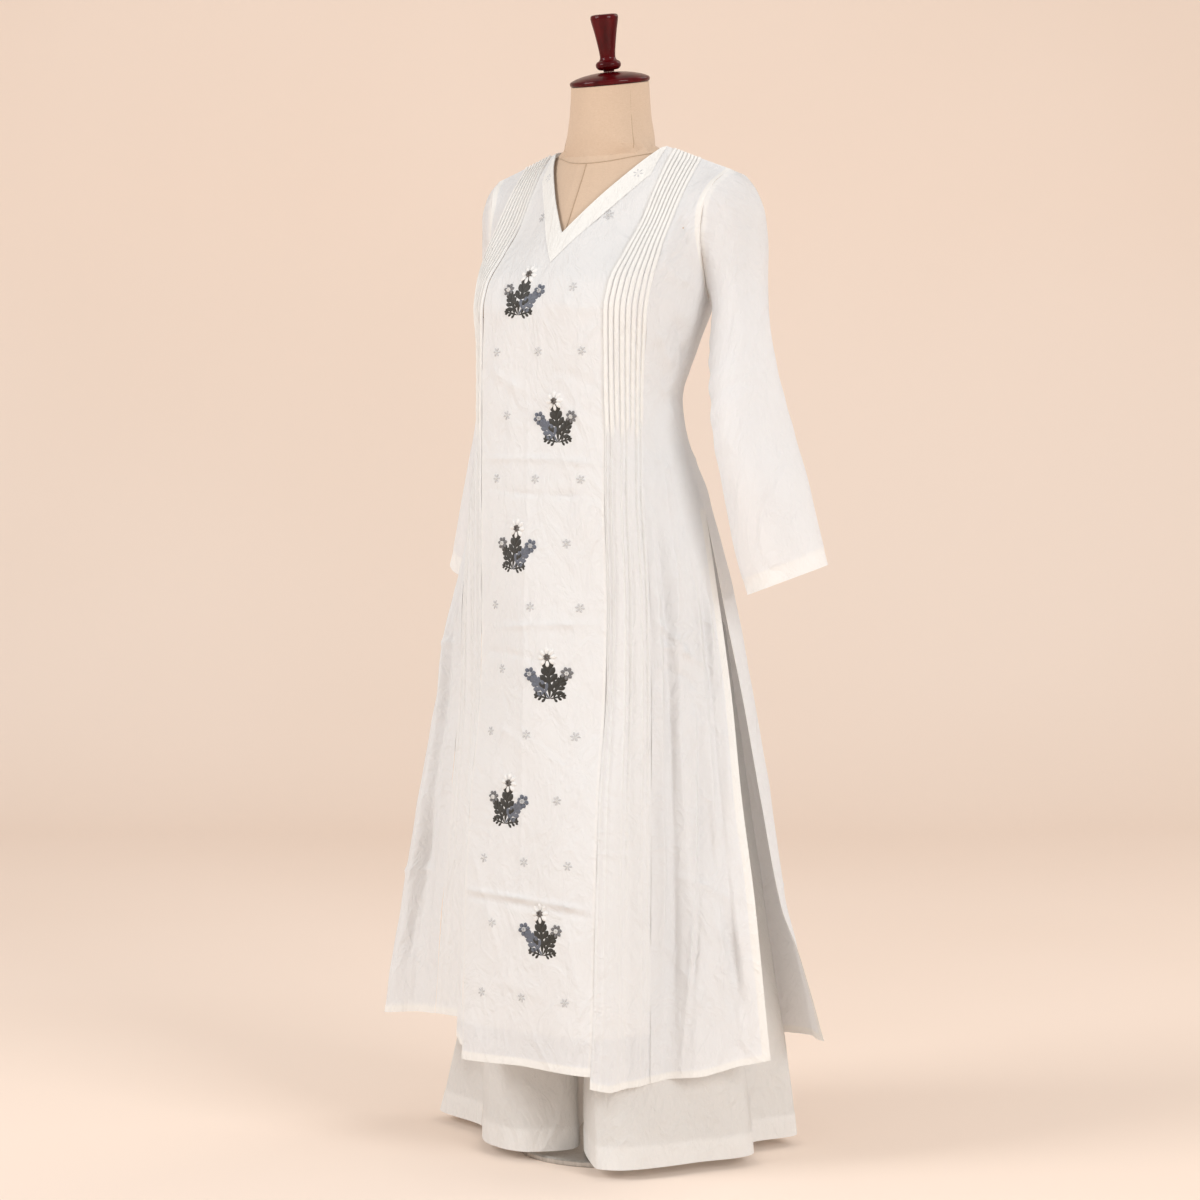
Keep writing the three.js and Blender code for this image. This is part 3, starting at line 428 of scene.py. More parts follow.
HIP_SECTIONS = [
    (765, 4, 130, 90, 76, 2.1), (785, 4, 134, 95, 80, 2.1), (830, 2, 132, 96, 68, 2.1),
    (880, -3, 118, 92, 54, 2.1), (930, -10, 106, 84, 46, 2.2), (965, -12, 102, 84, 42, 2.2),
    (1010, -10, 112, 98, 50, 2.3), (1055, -4, 128, 128, 60, 2.4),
]


def hip_plan(z: Array, angle: Array, clearance: Array) -> Array:
    """Plan of the body at the hips: a rounded oval with its own depth in front and behind.

    Args:
        z: heights.
        angle: angle from the front round the wearer's left.
        clearance: how far outside the body the points lie.

    Returns:
        x and y in millimetres.
    """
    middle, width, front, back, power = np.moveaxis(Line(HIP_SECTIONS).at(z), -1, 0)
    s, c = np.sin(angle), np.cos(angle)
    depth = np.where(c > 0, front, back)
    x = np.sign(s) * np.abs(s) ** (2 / power) * (width + clearance)
    y = middle - np.sign(c) * np.abs(c) ** (2 / power) * (depth + clearance)
    return np.stack([x, y], -1)


def leg_point(side: Side, place: Array, z: Array) -> Array:
    """Points of a trouser leg: a straight blend from the leg's top ring to its hem, and the hips above.

    Args:
        side: the wearer's side.
        place: 0 at the inner seam, over the front to 5 at the side, and back to 10.
        z: heights.

    Returns:
        Points in millimetres.
    """
    def ring(knots: list[tuple[float, float]]) -> Array:
        wrapped = np.array([knots[-1], *knots, *knots[:3]], float)
        index = np.minimum(9, np.floor(place)).astype(int)
        stacked = np.broadcast_to(wrapped[:, None], (len(wrapped), place.size, 2))
        flat = across(stacked, index.ravel() + 1, (place - index).ravel())
        return flat.reshape(*place.shape, 2)

    top = ring(LEG_TOPS[side])
    down = np.clip((CROTCH - z) / (CROTCH - TROUSER_HEM), 0, 1)[..., None]
    low = mix(top, ring(LEG_HEMS[side]), down)
    inner = math.asin(-CROTCH_X / 150) * -side.value
    to_side, to_back = mix(inner, HALF_PI, place / 5), mix(HALF_PI, math.pi - inner, place / 5 - 1)
    angle = np.where(place <= 5, to_side, to_back)
    level = np.maximum(z, 770)
    hips = hip_plan(level, angle, 3.8 + 2.2 * smooth((925 - level) / 60)) * (side.value, 1)
    drop = np.clip((762 - z) / (762 - CROTCH), 0, 1)
    from_inner = np.clip(np.minimum(place, 10 - place), 0, 1)
    eased = mix(1 - np.sqrt(1 - drop ** 2), drop ** 2, from_inner)[..., None]
    xy = np.where((z <= CROTCH)[..., None], low, mix(hips, top, eased))
    return np.concatenate([xy, z[..., None]], -1)


@dataclass(frozen=True)
class Crease:
    """A crease in a cloth grid, from one place and height to another.

    Attributes:
        start: place and height where it begins.
        end: place and height where it ends.
        width: half width in millimetres.
        depth: height of the ridge in millimetres, negative for a trough.
        per_place: millimetres to one unit of place there.
        bow: sideways bow of its middle in millimetres.
    """

    start: tuple[float, float]
    end: tuple[float, float]
    width: float
    depth: float
    per_place: float = 60.0
    bow: float = 0.0

    def relief(self, place: Array, z: Array) -> Array:
        """Ridge height at each point: bell-shaped across the line, fading at its ends, uneven along it."""
        a = np.array([self.start[0] * self.per_place, self.start[1]])
        b = np.array([self.end[0] * self.per_place, self.end[1]])
        length = float(np.linalg.norm(b - a))
        unit = (b - a) / length
        dx, dz = place * self.per_place - a[0], z - a[1]
        along = (dx * unit[0] + dz * unit[1]) / length
        inside = np.clip(along, 0, 1)
        off = -dx * unit[1] + dz * unit[0] - self.bow * 4 * inside * (1 - inside)
        fade = smooth((along + 0.08) / 0.3) * smooth((1.08 - along) / 0.3)
        uneven = 1 + 0.35 * np.sin(along * 17 + self.bow + self.start[1] * 0.1)
        return self.depth * fade * uneven * np.exp(-(np.abs(off / self.width) ** 1.35))


def ripple(a: Array, b: Array, seed: float) -> Array:
    """Soft uneven handling marks of cloth: a few slanted waves of unlike length, multiplied in pairs.

    Args:
        a: distance across the cloth in millimetres.
        b: distance along it in millimetres.
        seed: shifts the pattern.

    Returns:
        Relief from about -1 to 1.
    """
    first = np.sin(a / 31 + b / 83 + seed) * np.sin(b / 57 - a / 120 + 2.1 * seed)
    second = np.sin(a / 17 - b / 41 + 3.7 * seed) * np.sin(b / 29 + a / 61 + seed * 1.3)
    third = np.sin(a / 9.3 + b / 26 + 0.7 * seed) * np.sin(b / 14 - a / 33 + 5 * seed)
    return 0.5 * first + 0.3 * second + 0.2 * third


@dataclass
class ClothGrid:
    """A panel as a grid of points in millimetres with weights for the cloth's finish.

    Attributes:
        points: columns by rows by three.
        relief: distance moved out along the cloth's normal, in millimetres.
        dense: 1 where the cloth is doubled, as at hems and tucks.
        lined: 1 where a lining lies behind.
        outward: 1 or -1, so that the normal points out of the garment.
        closed: whether the last column joins the first.
    """

    points: Array
    relief: Array
    dense: Array
    lined: Array
    outward: float = 1.0
    closed: bool = False

    def normals(self) -> Array:
        """Unit normals from the differences of neighbouring points."""
        if self.closed:
            wrapped = np.concatenate([self.points[-1:], self.points, self.points[:1]])
            across_cloth = wrapped[2:] - wrapped[:-2]
        else:
            across_cloth = np.gradient(self.points, axis=0)
        up = np.gradient(self.points, axis=1)
        normal = np.cross(across_cloth, up) * self.outward
        return normal / np.maximum(1e-9, np.linalg.norm(normal, axis=-1, keepdims=True))

    def surface(self) -> Array:
        """Points moved out by the relief."""
        return self.points + self.normals() * self.relief[..., None]


class MeshMaker:
    """Makes Blender meshes from arrays."""

    @staticmethod
    def make(name: str, points: Array, faces: Array, material: bpy.types.Material,
             weights: dict[str, Array] | None = None, uv: Array | None = None) -> bpy.types.Object:
        """One smooth-shaded mesh object.

        Args:
            name: the object's name.
            points: vertices in metres.
            faces: vertex numbers, four to a face.
            material: its material.
            weights: named numbers for each vertex, kept as attributes.
            uv: a position in the flat cloth for each corner of each face, in metres.

        Returns:
            The object, linked to the scene.
        """
        mesh = bpy.data.meshes.new(name)
        mesh.from_pydata(points.reshape(-1, 3), [], faces.tolist())
        mesh.polygons.foreach_set("use_smooth", np.ones(len(mesh.polygons), bool))
        for key, values in (weights or {}).items():
            layer = mesh.attributes.new(key, "FLOAT", "POINT")
            layer.data.foreach_set("value", np.ascontiguousarray(values, np.float32).ravel())
        if uv is not None:
            layer = mesh.uv_layers.new(name="cloth")
            layer.data.foreach_set("uv", np.ascontiguousarray(uv, np.float32).ravel())
        mesh.materials.append(material)
        mesh.validate()
        mesh.update()
        piece = bpy.data.objects.new(name, mesh)
        bpy.context.scene.collection.objects.link(piece)
        return piece

    @staticmethod
    def quads(columns: int, rows: int, closed: bool, flip: bool) -> Array:
        """Faces of a grid whose vertices run row by row within each column."""
        i = np.arange(columns if closed else columns - 1)[:, None]
        j = np.arange(rows - 1)[None, :]
        nxt = (i + 1) % columns
        a, b, c, d = i * rows + j, nxt * rows + j, nxt * rows + j + 1, i * rows + j + 1
        order = (a, d, c, b) if flip else (a, b, c, d)
        return np.stack([np.broadcast_to(q, (len(i), rows - 1)) for q in order], -1).reshape(-1, 4)

    @classmethod
    def cloth(cls, name: str, grid: ClothGrid, material: bpy.types.Material) -> bpy.types.Object:
        """A sheet of cloth from its grid, with its flat position as UV."""
        surface = grid.surface()
        columns, rows = surface.shape[:2]
        faces = cls.quads(columns, rows, grid.closed, grid.outward < 0)
        step_u = np.linalg.norm(np.diff(surface, axis=0, prepend=surface[:1]), axis=-1)
        step_v = np.linalg.norm(np.diff(surface, axis=1, prepend=surface[:, :1]), axis=-1)
        flat = np.stack([np.cumsum(step_u, axis=0), np.cumsum(step_v, axis=1)], -1) * MM
        weights = {"dense": grid.dense, "lined": grid.lined}
        corners_uv = flat.reshape(-1, 2)[faces]
        if grid.closed:
            wrapped = (faces // rows == 0) & (np.arange(len(faces)) >= (columns - 1) * (rows - 1))[:, None]
            around = flat[-1, :, 0] + np.linalg.norm(surface[0] - surface[-1], axis=-1) * MM
            corners_uv[..., 0] = np.where(wrapped, around[faces % rows], corners_uv[..., 0])
        return cls.make(name, surface * MM, faces, material, weights, corners_uv)


def bell(x: Array, width: float) -> Array:
    """Bell curve of that half width."""
    return np.exp(-((x / width) ** 2))


def hem_mark(distance: Array, width: float) -> tuple[Array, Array]:
    """Relief and doubling of a turned hem.

    Args:
        distance: millimetres from the edge.
        width: the hem's width.

    Returns:
        Relief in millimetres, with a dip at the stitching, and how doubled the cloth is.
    """
    inside = 1 - smooth((distance - width + 0.6) / 1.2)
    stitch = bell(distance - width + 1.5, 0.9)
    return HEM_LIFT * inside - HEM_LIFT * stitch, inside


PIECE_CREASES: dict[str, list[Crease]] = {
    "front_centre": [
        Crease((-0.9, 899), (0.95, 893), 3.0, 1.3, 97, 4),
        Crease((-0.85, 862), (0.9, 856), 3.4, -1.2, 97, -3),
        Crease((-0.7, 685), (0.95, 694), 3.2, 1.3, 97, 3),
        Crease((-0.9, 655), (0.2, 650), 4.0, -1.0, 97, 2),
        Crease((-0.98, 352), (0.98, 341), 2.4, 2.0, 97, 3),
        Crease((-0.98, 343), (0.98, 332), 3.2, -1.5, 97, 3),
        Crease((-0.2, 1090), (-0.05, 300), 2.6, 0.8, 97, 4),
        Crease((0.1, 980), (0.72, 940), 6.0, 1.2, 97, 5),
        Crease((0.2, 1010), (0.9, 985), 7.0, -1.1, 97, 6),
        Crease((-0.8, 1020), (-0.15, 985), 7.0, 1.2, 97, -5),
        Crease((-0.75, 1075), (-0.2, 1100), 9.0, 1.2, 97, 6),
        Crease((0.3, 1102), (0.9, 1085), 8.0, 1.1, 97, -6),
        Crease((-0.6, 560), (0.2, 520), 8.0, 0.9, 97, 10),
        Crease((0.35, 610), (0.8, 470), 5.0, 0.8, 97, 8),
        Crease((-0.95, 420), (-0.3, 250), 6.0, 0.8, 97, 6),
        Crease((0.55, 330), (0.85, 180), 4.0, 0.8, 97, 5),
        Crease((-0.6, 240), (0.4, 225), 9.0, 0.7, 97, 5),
    ],
    "front_left": [
        Crease((2.05, 700), (2.9, 655), 4.0, 2.4, 56, 3),
        Crease((2.12, 860), (2.2, 140), 5.0, 3.2, 60, 5),
        Crease((2.3, 820), (2.42, 140), 6.0, -3.0, 60, 7),
        Crease((2.72, 850), (2.8, 300), 7.0, 2.6, 60, -6),
        Crease((3.12, 800), (3.25, 150), 7.0, 3.4, 60, 8),
        Crease((3.4, 760), (3.5, 150), 6.0, -2.8, 60, 6),
        Crease((3.62, 790), (3.66, 260), 5.0, 2.4, 60, -5),
        Crease((2.5, 930), (2.62, 700), 6.0, 2.2, 50, 4),
        Crease((2.98, 590), (2.55, 145), 2.6, 2.6, 56, 6),
        Crease((3.05, 590), (2.64, 150), 3.4, -2.0, 56, 6),
        Crease((2.1, 668), (3.3, 640), 4.0, 2.0, 56, 6),
        Crease((2.2, 640), (3.1, 612), 5.0, -1.6, 56, 5),
        Crease((2.05, 905), (2.9, 880), 4.0, 1.5, 40, 5),
        Crease((2.2, 1060), (3.2, 980), 9.0, 2.0, 40, 7),
        Crease((2.4, 1090), (3.6, 1010), 8.0, -1.8, 40, 6),
        Crease((2.3, 1010), (3.4, 930), 8.0, 1.7, 40, 8),
        Crease((2.15, 1150), (3.4, 1120), 9.0, 1.8, 40, -7),
        Crease((2.3, 1200), (3.3, 1165), 8.0, -1.6, 40, 6),
        Crease((3.35, 800), (3.75, 430), 6.0, 2.0, 60, 8),
        Crease((3.2, 520), (3.7, 200), 6.0, -2.0, 60, -6),
        Crease((2.4, 380), (3.6, 345), 5.0, 1.3, 60, 5),
        Crease((2.2, 300), (2.9, 210), 6.0, 1.2, 60, 6),
        Crease((3.2, 330), (3.6, 160), 3.0, 1.4, 60, 4),
    ],
    "front_right": [
        Crease((2.1, 860), (2.2, 200), 6.0, 3.2, 70, 6),
        Crease((2.4, 820), (2.55, 190), 7.0, -3.2, 70, 7),
        Crease((2.75, 840), (2.9, 180), 7.0, 3.4, 70, -6),
        Crease((3.1, 760), (3.2, 175), 6.0, -3.0, 80, 6),
        Crease((3.5, 700), (3.6, 180), 7.0, 3.0, 80, 8),
        Crease((2.2, 660), (3.4, 640), 4.0, 1.8, 60, 6),
        Crease((2.3, 1050), (3.4, 960), 8.0, 1.8, 40, 6),
        Crease((2.2, 1130), (3.4, 1110), 8.0, -1.6, 40, -6),
        Crease((3.1, 620), (3.4, 200), 4.0, 2.0, 80, 8),
        Crease((2.4, 520), (2.7, 190), 4.0, -1.8, 80, 6),
        Crease((2.2, 360), (3.6, 340), 5.0, 1.3, 80, 5),
        Crease((2.3, 905), (3.1, 880), 4.0, 1.4, 40, 5),
    ],
    "back": [
        Crease((4.3, 1010), (5.7, 975), 9.0, 2.2, 90, 8),
        Crease((-4.3, 1004), (-5.6, 968), 9.0, 2.2, 90, -8),
        Crease((4.4, 940), (5.8, 925), 8.0, -2.2, 90, 5),
        Crease((-4.5, 945), (-5.9, 930), 8.0, -2.0, 90, -5),
        Crease((4.4, 900), (5.5, 885), 7.0, 1.8, 90, 5),
        Crease((-4.6, 890), (-5.7, 872), 7.0, 1.7, 90, -4),
        Crease((5.2, 1190), (4.5, 1120), 11.0, 1.8, 90, 6),
        Crease((-5.2, 1180), (-4.5, 1115), 11.0, 1.8, 90, -6),
        Crease((5.4, 800), (5.25, 260), 5.0, 2.2, 110, 8),
        Crease((-5.3, 760), (-5.2, 240), 5.0, 2.2, 110, 8),
        Crease((4.6, 640), (5.9, 618), 3.0, 1.6, 110, 5),
        Crease((-4.6, 634), (-5.9, 620), 3.0, 1.4, 110, -4),
        Crease((4.3, 346), (5.95, 338), 3.0, 1.6, 130, 5),
        Crease((-4.3, 340), (-5.95, 338), 3.0, 1.5, 130, -4),
    ],
}


@dataclass
class KurtaPanels:
    """Cloth grids of the kurta's panels."""

    form: KurtaForm
    centre_rows: int = 380
    side_rows: int = 330
    back_rows: int = 300

    def layout(self, place: Array, hem: Array, rows: int, half: Half,
               sign: int = 1) -> tuple[Array, Array, Array]:
        """Lays a panel out in even rows from its hem to its top.

        Args:
            place: place of each column.
            hem: height of the hem at each place.
            rows: number of rows.
            half: front or back.
            sign: -1 for a panel of the wearer's right whose places are positive.

        Returns:
            The place and the height of each point, and the points in millimetres.
        """
        z = mix(hem[:, None], self.form.top(np.abs(place))[:, None], np.linspace(0, 1, rows)[None, :])
        spread = np.repeat(place[:, None], rows, 1)
        return spread, z, self.form.point(spread * sign, half, z)

    @staticmethod
    def creases(piece: str, spread: Array, z: Array) -> Array:
        """Relief of all the creases of a piece."""
        return sum(crease.relief(spread, z) for crease in PIECE_CREASES[piece])

    def front_centre(self) -> ClothGrid:
        """Centre panel with its hem and the end of its lining."""
        wide = np.concatenate([np.linspace(-1, -NECK_PLACE, 6), np.linspace(-NECK_PLACE, 0, 36)[1:]])
        place = np.concatenate([wide, -wide[::-1][1:]])
        place = np.clip(place, -0.9985, 0.9985)
        hem = np.interp(np.abs(place), [0, 1], [139, 135])
        spread, z, points = self.layout(place, hem, self.centre_rows, Half.FRONT)
        relief, dense = hem_mark(z - hem[:, None], ROLLED_HEM)
        relief = relief + CENTRE_CREASING * self.creases("front_centre", spread, z)
        calm = smooth((self.form.top(np.abs(spread)) - z) / 60)
        relief = relief + ripple(points[..., 0], z, 0.4) * 1.5 * calm
        seam = bell((1 - np.abs(spread)) * CENTRE_HALF - 2.0, 1.6)
        lined = smooth((z - LINING_END) / 3)
        return ClothGrid(points, relief - 0.4 * seam, np.maximum(dense, 0.6 * seam), lined)

    def tucks(self, side: Side) -> ClothGrid:
        """Panel of narrow stitched tucks that open into loose pleats below the waist."""
        within = np.array([0.0, 0.05, 0.11, 0.18, 0.38, 0.58, 0.76, 0.84, 0.93])
        place = np.append(1 + (np.arange(TUCKS)[:, None] + within).ravel() / TUCKS, 2.0)
        place = np.clip(place, 1.001, 1.9985)
        if side is Side.LEFT:
            hem = np.interp(place, [1, 1.3, 2], [120, 115, 119])
        else:
            hem = np.interp(place, [1, 1.5, 2], [152, 178, 176])
        spread, z, points = self.layout(place, hem, self.side_rows, Half.FRONT, side.value)
        phase = (spread - 1) * TUCKS % 1
        number = np.floor((spread - 1) * TUCKS)
        fold = smooth((phase - 0.04) / 0.1) * (1 - smooth((phase - 0.76) / 0.12)) * (0.55 + 0.6 * (1 - phase))
        stitched = smooth((z - TUCK_END + 8 * np.sin(number * 2.4)) / 22)
        pucker = 0.35 * np.sin(z / 4.1 + number * 1.7) * bell(z - 1010, 70)
        weight = 0.55 + 0.45 * np.sin(number * 2.1 + 0.6)
        loose = (1 - stitched) * weight * (0.35 + 0.65 * smooth((z - 150) / 700))
        crest = bell(phase - 0.35, 0.16) * PLEAT_HEIGHT
        relief = fold * stitched * (TUCK_HEIGHT + pucker) + crest * loose
        edge, dense = hem_mark(z - hem[:, None], ROLLED_HEM)
        relief = relief + edge + ripple(spread * 55, z, 1.9) * 0.7 * (1 - stitched)
        opaque = np.maximum(np.minimum(1, 1.3 * fold) * stitched, 0.75 * bell(phase - 0.35, 0.14) * loose)
        return ClothGrid(points, relief, np.maximum(dense, opaque), smooth((z - LINING_END) / 3), side.value)

    def front_side(self, side: Side) -> ClothGrid:
        """Side front panel with its slit edge, hem and armhole."""
        place = np.clip(np.linspace(2, 4, 72), 2.0015, 3.9985)
        ends = ([2, 3, 4], [119, 128, 146]) if side is Side.LEFT else ([2, 3, 4], [176, 164, 160])
        hem = np.interp(place, *ends)
        spread, z, points = self.layout(place, hem, self.side_rows, Half.FRONT, side.value)
        relief, dense = hem_mark(z - hem[:, None], ROLLED_HEM)
        from_side = np.linalg.norm(points - points[-1:], axis=-1)
        slit, slit_dense = hem_mark(from_side, ROLLED_HEM)
        below = 1 - smooth((z - SLIT_TOP + 4) / 8)
        above = smooth((z - UNDERARM) / 6)
        creased = self.creases(f"front_{side.label}", spread, z)
        relief = relief + slit * below + SIDE_CREASING * creased
        calm = smooth((self.form.top(spread) - z) / 60) * smooth((4 - spread) / 0.4)
        relief = relief * mix(1.0, calm, smooth((z - 830) / 30))
        relief = relief + ripple(spread * 60, z, 2.7 * side.value) * 2.1 * mix(0.5, calm, 0.7)
        allowance = 1 - smooth((from_side - 8) / 1.0)
        dense = np.maximum(dense, np.maximum(slit_dense * below, allowance * above))
        return ClothGrid(points, relief, dense, np.full_like(z, 0.35), side.value)

    def back(self) -> ClothGrid:
        """Back panel from side to side."""
        half = np.linspace(4.0015, 6, 84)
        place = np.concatenate([half, -half[::-1][1:]])
        hem = np.interp(np.abs(place), [4, 5, 6], [151, 141, 139])
        spread, z, points = self.layout(place, hem, self.back_rows, Half.BACK)
        relief, dense = hem_mark(z - hem[:, None], ROLLED_HEM)
        edge = np.minimum(
            np.linalg.norm(points - points[:1], axis=-1), np.linalg.norm(points - points[-1:], axis=-1)
        )
        slit, slit_dense = hem_mark(edge, ROLLED_HEM)
        below = 1 - smooth((z - SLIT_TOP + 4) / 8)
        relief = relief + slit * below + self.creases("back", spread, z)
        calm = smooth((self.form.top(np.abs(spread)) - z) / 60) * smooth((np.abs(spread) - 4) / 0.4)
        relief = relief * mix(1.0, calm, smooth((z - 830) / 30))
        relief = relief + ripple(points[..., 0], z, 3.3) * 1.6 * mix(0.4, calm, 0.8)
        top = self.form.top(np.abs(spread)) - z
        neck = (1 - smooth((top - 9) / 1.0)) * (np.abs(spread) > 5)
        dense = np.maximum(np.maximum(dense, slit_dense * below), neck)
        return ClothGrid(points, relief, dense, np.full_like(z, 0.5))

    def neck_band(self) -> ClothGrid:
        """Band round the front neckline, a little outside the centre panel."""
        wide = np.linspace(-NECK_PLACE, 0, 60)
        place = np.concatenate([wide, -wide[::-1][1:]])
        top = self.form.top(np.abs(place))
        drop = np.linspace(BAND_DROP, 0.4, 14)[None, :]
        z = top[:, None] - drop
        spread = np.repeat(place[:, None], z.shape[1], 1)
        points = self.form.point(spread, Half.FRONT, z)
        edge = np.minimum(drop, BAND_DROP - drop) + 0 * z
        stitch = bell(edge - 3.0, 1.0)
        relief = 0.9 - 0.35 * stitch + 0.2 * np.sin(points[..., 0] / 3.1) * stitch
        return ClothGrid(points, relief, np.full_like(z, 1.0), np.ones_like(z))


@dataclass
class SleeveMaker:
    """Cloth grids of the sleeves."""

    form: KurtaForm
    columns: int = 132

    def ring_points(self, side: Side, angle: Array, level: Array) -> Array:
        """Points of the sleeve's rings at fractional ring numbers."""
        rows = [(i, *ring) for i, ring in enumerate(SLEEVE_RINGS[side])]
        over_x, over_z, under_x, under_z, middle, half, tilt = np.moveaxis(Line(rows).at(level), -1, 0)
        high = (np.cos(angle) + 1) / 2
        gathered = smooth((under_z - 1040) / 59) * (1 - high) ** 2
        back = half * np.sin(angle) * (1 - 0.4 * gathered)
        y = middle - gathered * (middle - 1) + back
        x = side.value * mix(under_x, over_x, high)
        return np.stack([x, y, mix(under_z, over_z, high) + tilt * back], -1)

    def grid(self, side: Side) -> ClothGrid:
        """The sleeve from its armhole seam to its cuff.

        The seam row lies on the panels' edge. Creases run down the arm and slant at the elbow.
        """
        angle = math.pi + np.linspace(0, 2 * math.pi, self.columns, endpoint=False)
        share = (np.cos(angle) + 1) / 2
        z = mix(UNDERARM, self.form.top(np.array(4.0)), share)
        place = np.full_like(z, 4.0) * side.value
        is_back = np.sin(angle) > 0
        behind, ahead = self.form.point(place, Half.BACK, z), self.form.point(place, Half.FRONT, z)
        edge = np.where(is_back[:, None], behind, ahead)
        last = len(SLEEVE_RINGS[side]) - 1
        level = np.concatenate([np.linspace(0, 1, 12)[:-1], np.linspace(1, last, 190)])
        turn, depth = np.meshgrid(angle, level, indexing="ij")
        rings = self.ring_points(side, turn, depth)
        start = mix(edge[:, None], rings[:, :1], np.linspace(0, 1, 7)[None, :-1, None])
        points = np.concatenate([start, rings], axis=1)
        turn = np.concatenate([turn[:, :6], turn], axis=1)
        depth = np.concatenate([np.zeros_like(turn[:, :6]), depth], axis=1)
        down = last - depth
        lift = smooth(depth / 1.2)
        wave = np.sin(turn * 2 + depth * 0.9 + side.value) * 1.4 + np.sin(turn * 3 - depth * 1.3) * 1.1
        slanted = np.sin(depth * 7 + 2.2 * np.cos(turn)) * 1.6
        elbow = bell(depth - 6.4, 1.8) * slanted * (0.5 - 0.5 * np.cos(turn))
        head = bell(depth - 0.9, 1.1) * np.sin(turn * 9 + 0.6) * 0.9
        relief = lift * (wave + elbow) + head + ripple(turn * 45, depth * 46, 4.1 * side.value) * 1.3 * lift
        length = np.linalg.norm(points - points[:, -1:], axis=-1)
        hem, dense = hem_mark(length, CUFF_HEM)
        relief = relief * smooth((down + 0.2) / 0.9 + 0.25) + hem
        seam = bell(np.minimum(turn - math.pi, 3 * math.pi - turn), 0.035)
        allowance = 1 - smooth((np.linalg.norm(points - points[:, :1], axis=-1) - 7) / 1.0)
        dense = np.maximum(np.maximum(dense, 0.7 * seam), 0.8 * allowance)
        return ClothGrid(points, relief, dense, np.zeros_like(dense), side.value, closed=True)


@dataclass
class TrouserMaker:
    """Cloth grids of the trousers."""

    def panel(self, side: Side, first: float, last: float) -> ClothGrid:
        """Half a leg between its seams, with a broad hem and soft lengthwise folds."""
        place = np.clip(np.linspace(first, last, 84), first + 0.004, last - 0.004)
        z = np.linspace(TROUSER_HEM, TROUSER_TOP, 210)[None, :] + 0 * place[:, None]
        spread = np.repeat(place[:, None], z.shape[1], 1)
        points = leg_point(side, spread, z)
        low = smooth((640 - z) / 250)
        ends = smooth((spread - first) / 0.5) * smooth((last - spread) / 0.5)
        hang = np.sin(spread * 3.1 + side.value) * 3.0 + np.sin(spread * 7.3 + 0.01 * z) * 1.2
        relief = hang * low * ends * smooth((z + 40) / 120)
        relief = relief + ripple(spread * 70, z, 5.5 + side.value) * 1.4 * low * ends
        hem, dense = hem_mark(z - TROUSER_HEM, TROUSER_HEM_BAND)
        return ClothGrid(points, relief * 0.8 + hem, dense, np.zeros_like(z), side.value)

    def waistband(self) -> ClothGrid:
        """Gathered band on the form's waist."""
        angle = np.linspace(0, 2 * math.pi, 240, endpoint=False)
        z = np.linspace(BAND_LOW, BAND_HIGH, 18)[None, :] + 0 * angle[:, None]
        turn = np.repeat(angle[:, None], z.shape[1], 1)
        xy = hip_plan(z, turn, np.full_like(z, 1.9))
        points = np.concatenate([xy, z[..., None]], -1)
        relief = 0.5 * np.sin(turn * 58) * smooth((z - BAND_LOW) / 5) * smooth((BAND_HIGH - z) / 5)
        return ClothGrid(points, relief, np.ones_like(z), np.ones_like(z), closed=True)


class Sock:
    """A shader socket with arithmetic, so that node maths reads as formulas."""

    def __init__(self, tree: bpy.types.NodeTree, socket: bpy.types.NodeSocket | float) -> None:
        """Wraps a socket or a number of one node tree."""
        self.tree, self.socket = tree, socket

    def node(self, kind: str, output: str | int = 0, settings: dict | None = None,
             **inputs: object) -> "Sock":
        """Adds a node.

        Args:
            kind: the node's type name.
            output: which output to return.
            settings: attributes of the node.
            inputs: input values or wrapped sockets by name, spaces as underscores, or by i and number.

        Returns:
            The chosen output, wrapped.
        """
        made = self.tree.nodes.new(kind)
        for key, value in (settings or {}).items():
            setattr(made, key, value)
        for key, value in inputs.items():
            numbered = key[0] == "i" and key[1:].isdigit()
            slot = made.inputs[int(key[1:]) if numbered else key.replace("_", " ")]
            if isinstance(value, Sock) and not isinstance(value.socket, (int, float)):
                self.tree.links.new(value.socket, slot)
            else:
                slot.default_value = value.socket if isinstance(value, Sock) else value
        return Sock(self.tree, made.outputs[output])

    def _maths(self, operation: str, other: "Sock | float") -> "Sock":
        return self.node("ShaderNodeMath", settings={"operation": operation}, i0=self, i1=other)

    def __add__(self, other: "Sock | float") -> "Sock":
        return self._maths("ADD", other)

    def __mul__(self, other: "Sock | float") -> "Sock":
        return self._maths("MULTIPLY", other)

    def blend(self, low: "Sequence[float] | Sock", high: "Sequence[float] | Sock") -> "Sock":
        """Colour mixed from low to high by this value."""
        return self.node("ShaderNodeMix", 2, {"data_type": "RGBA"}, i0=self, i6=low, i7=high)

    def between(self, start: float, end: float) -> "Sock":
        """This value taken from start to end onto 0 to 1."""
        return self.node("ShaderNodeMapRange", 0, None, Value=self, From_Min=start, From_Max=end)


@dataclass(frozen=True)
class ClothFinish:
    """Colours and surface of a woven cloth.

    Attributes:
        single: colour of one layer, red, green and blue, linear.
        lined: colour over a lining.
        doubled: colour of doubled cloth.
        glow: share of light that passes through one layer.
        slub: strength of the thick threads' relief.
        sheen: weight of the soft sheen.
        crumple: strength of the crumples' relief.
    """

    name: str
    single: tuple[float, float, float]
    lined: tuple[float, float, float]
    doubled: tuple[float, float, float]
    glow: float
    slub: float = 0.25
    sheen: float = 0.15
    crumple: float = 0.42


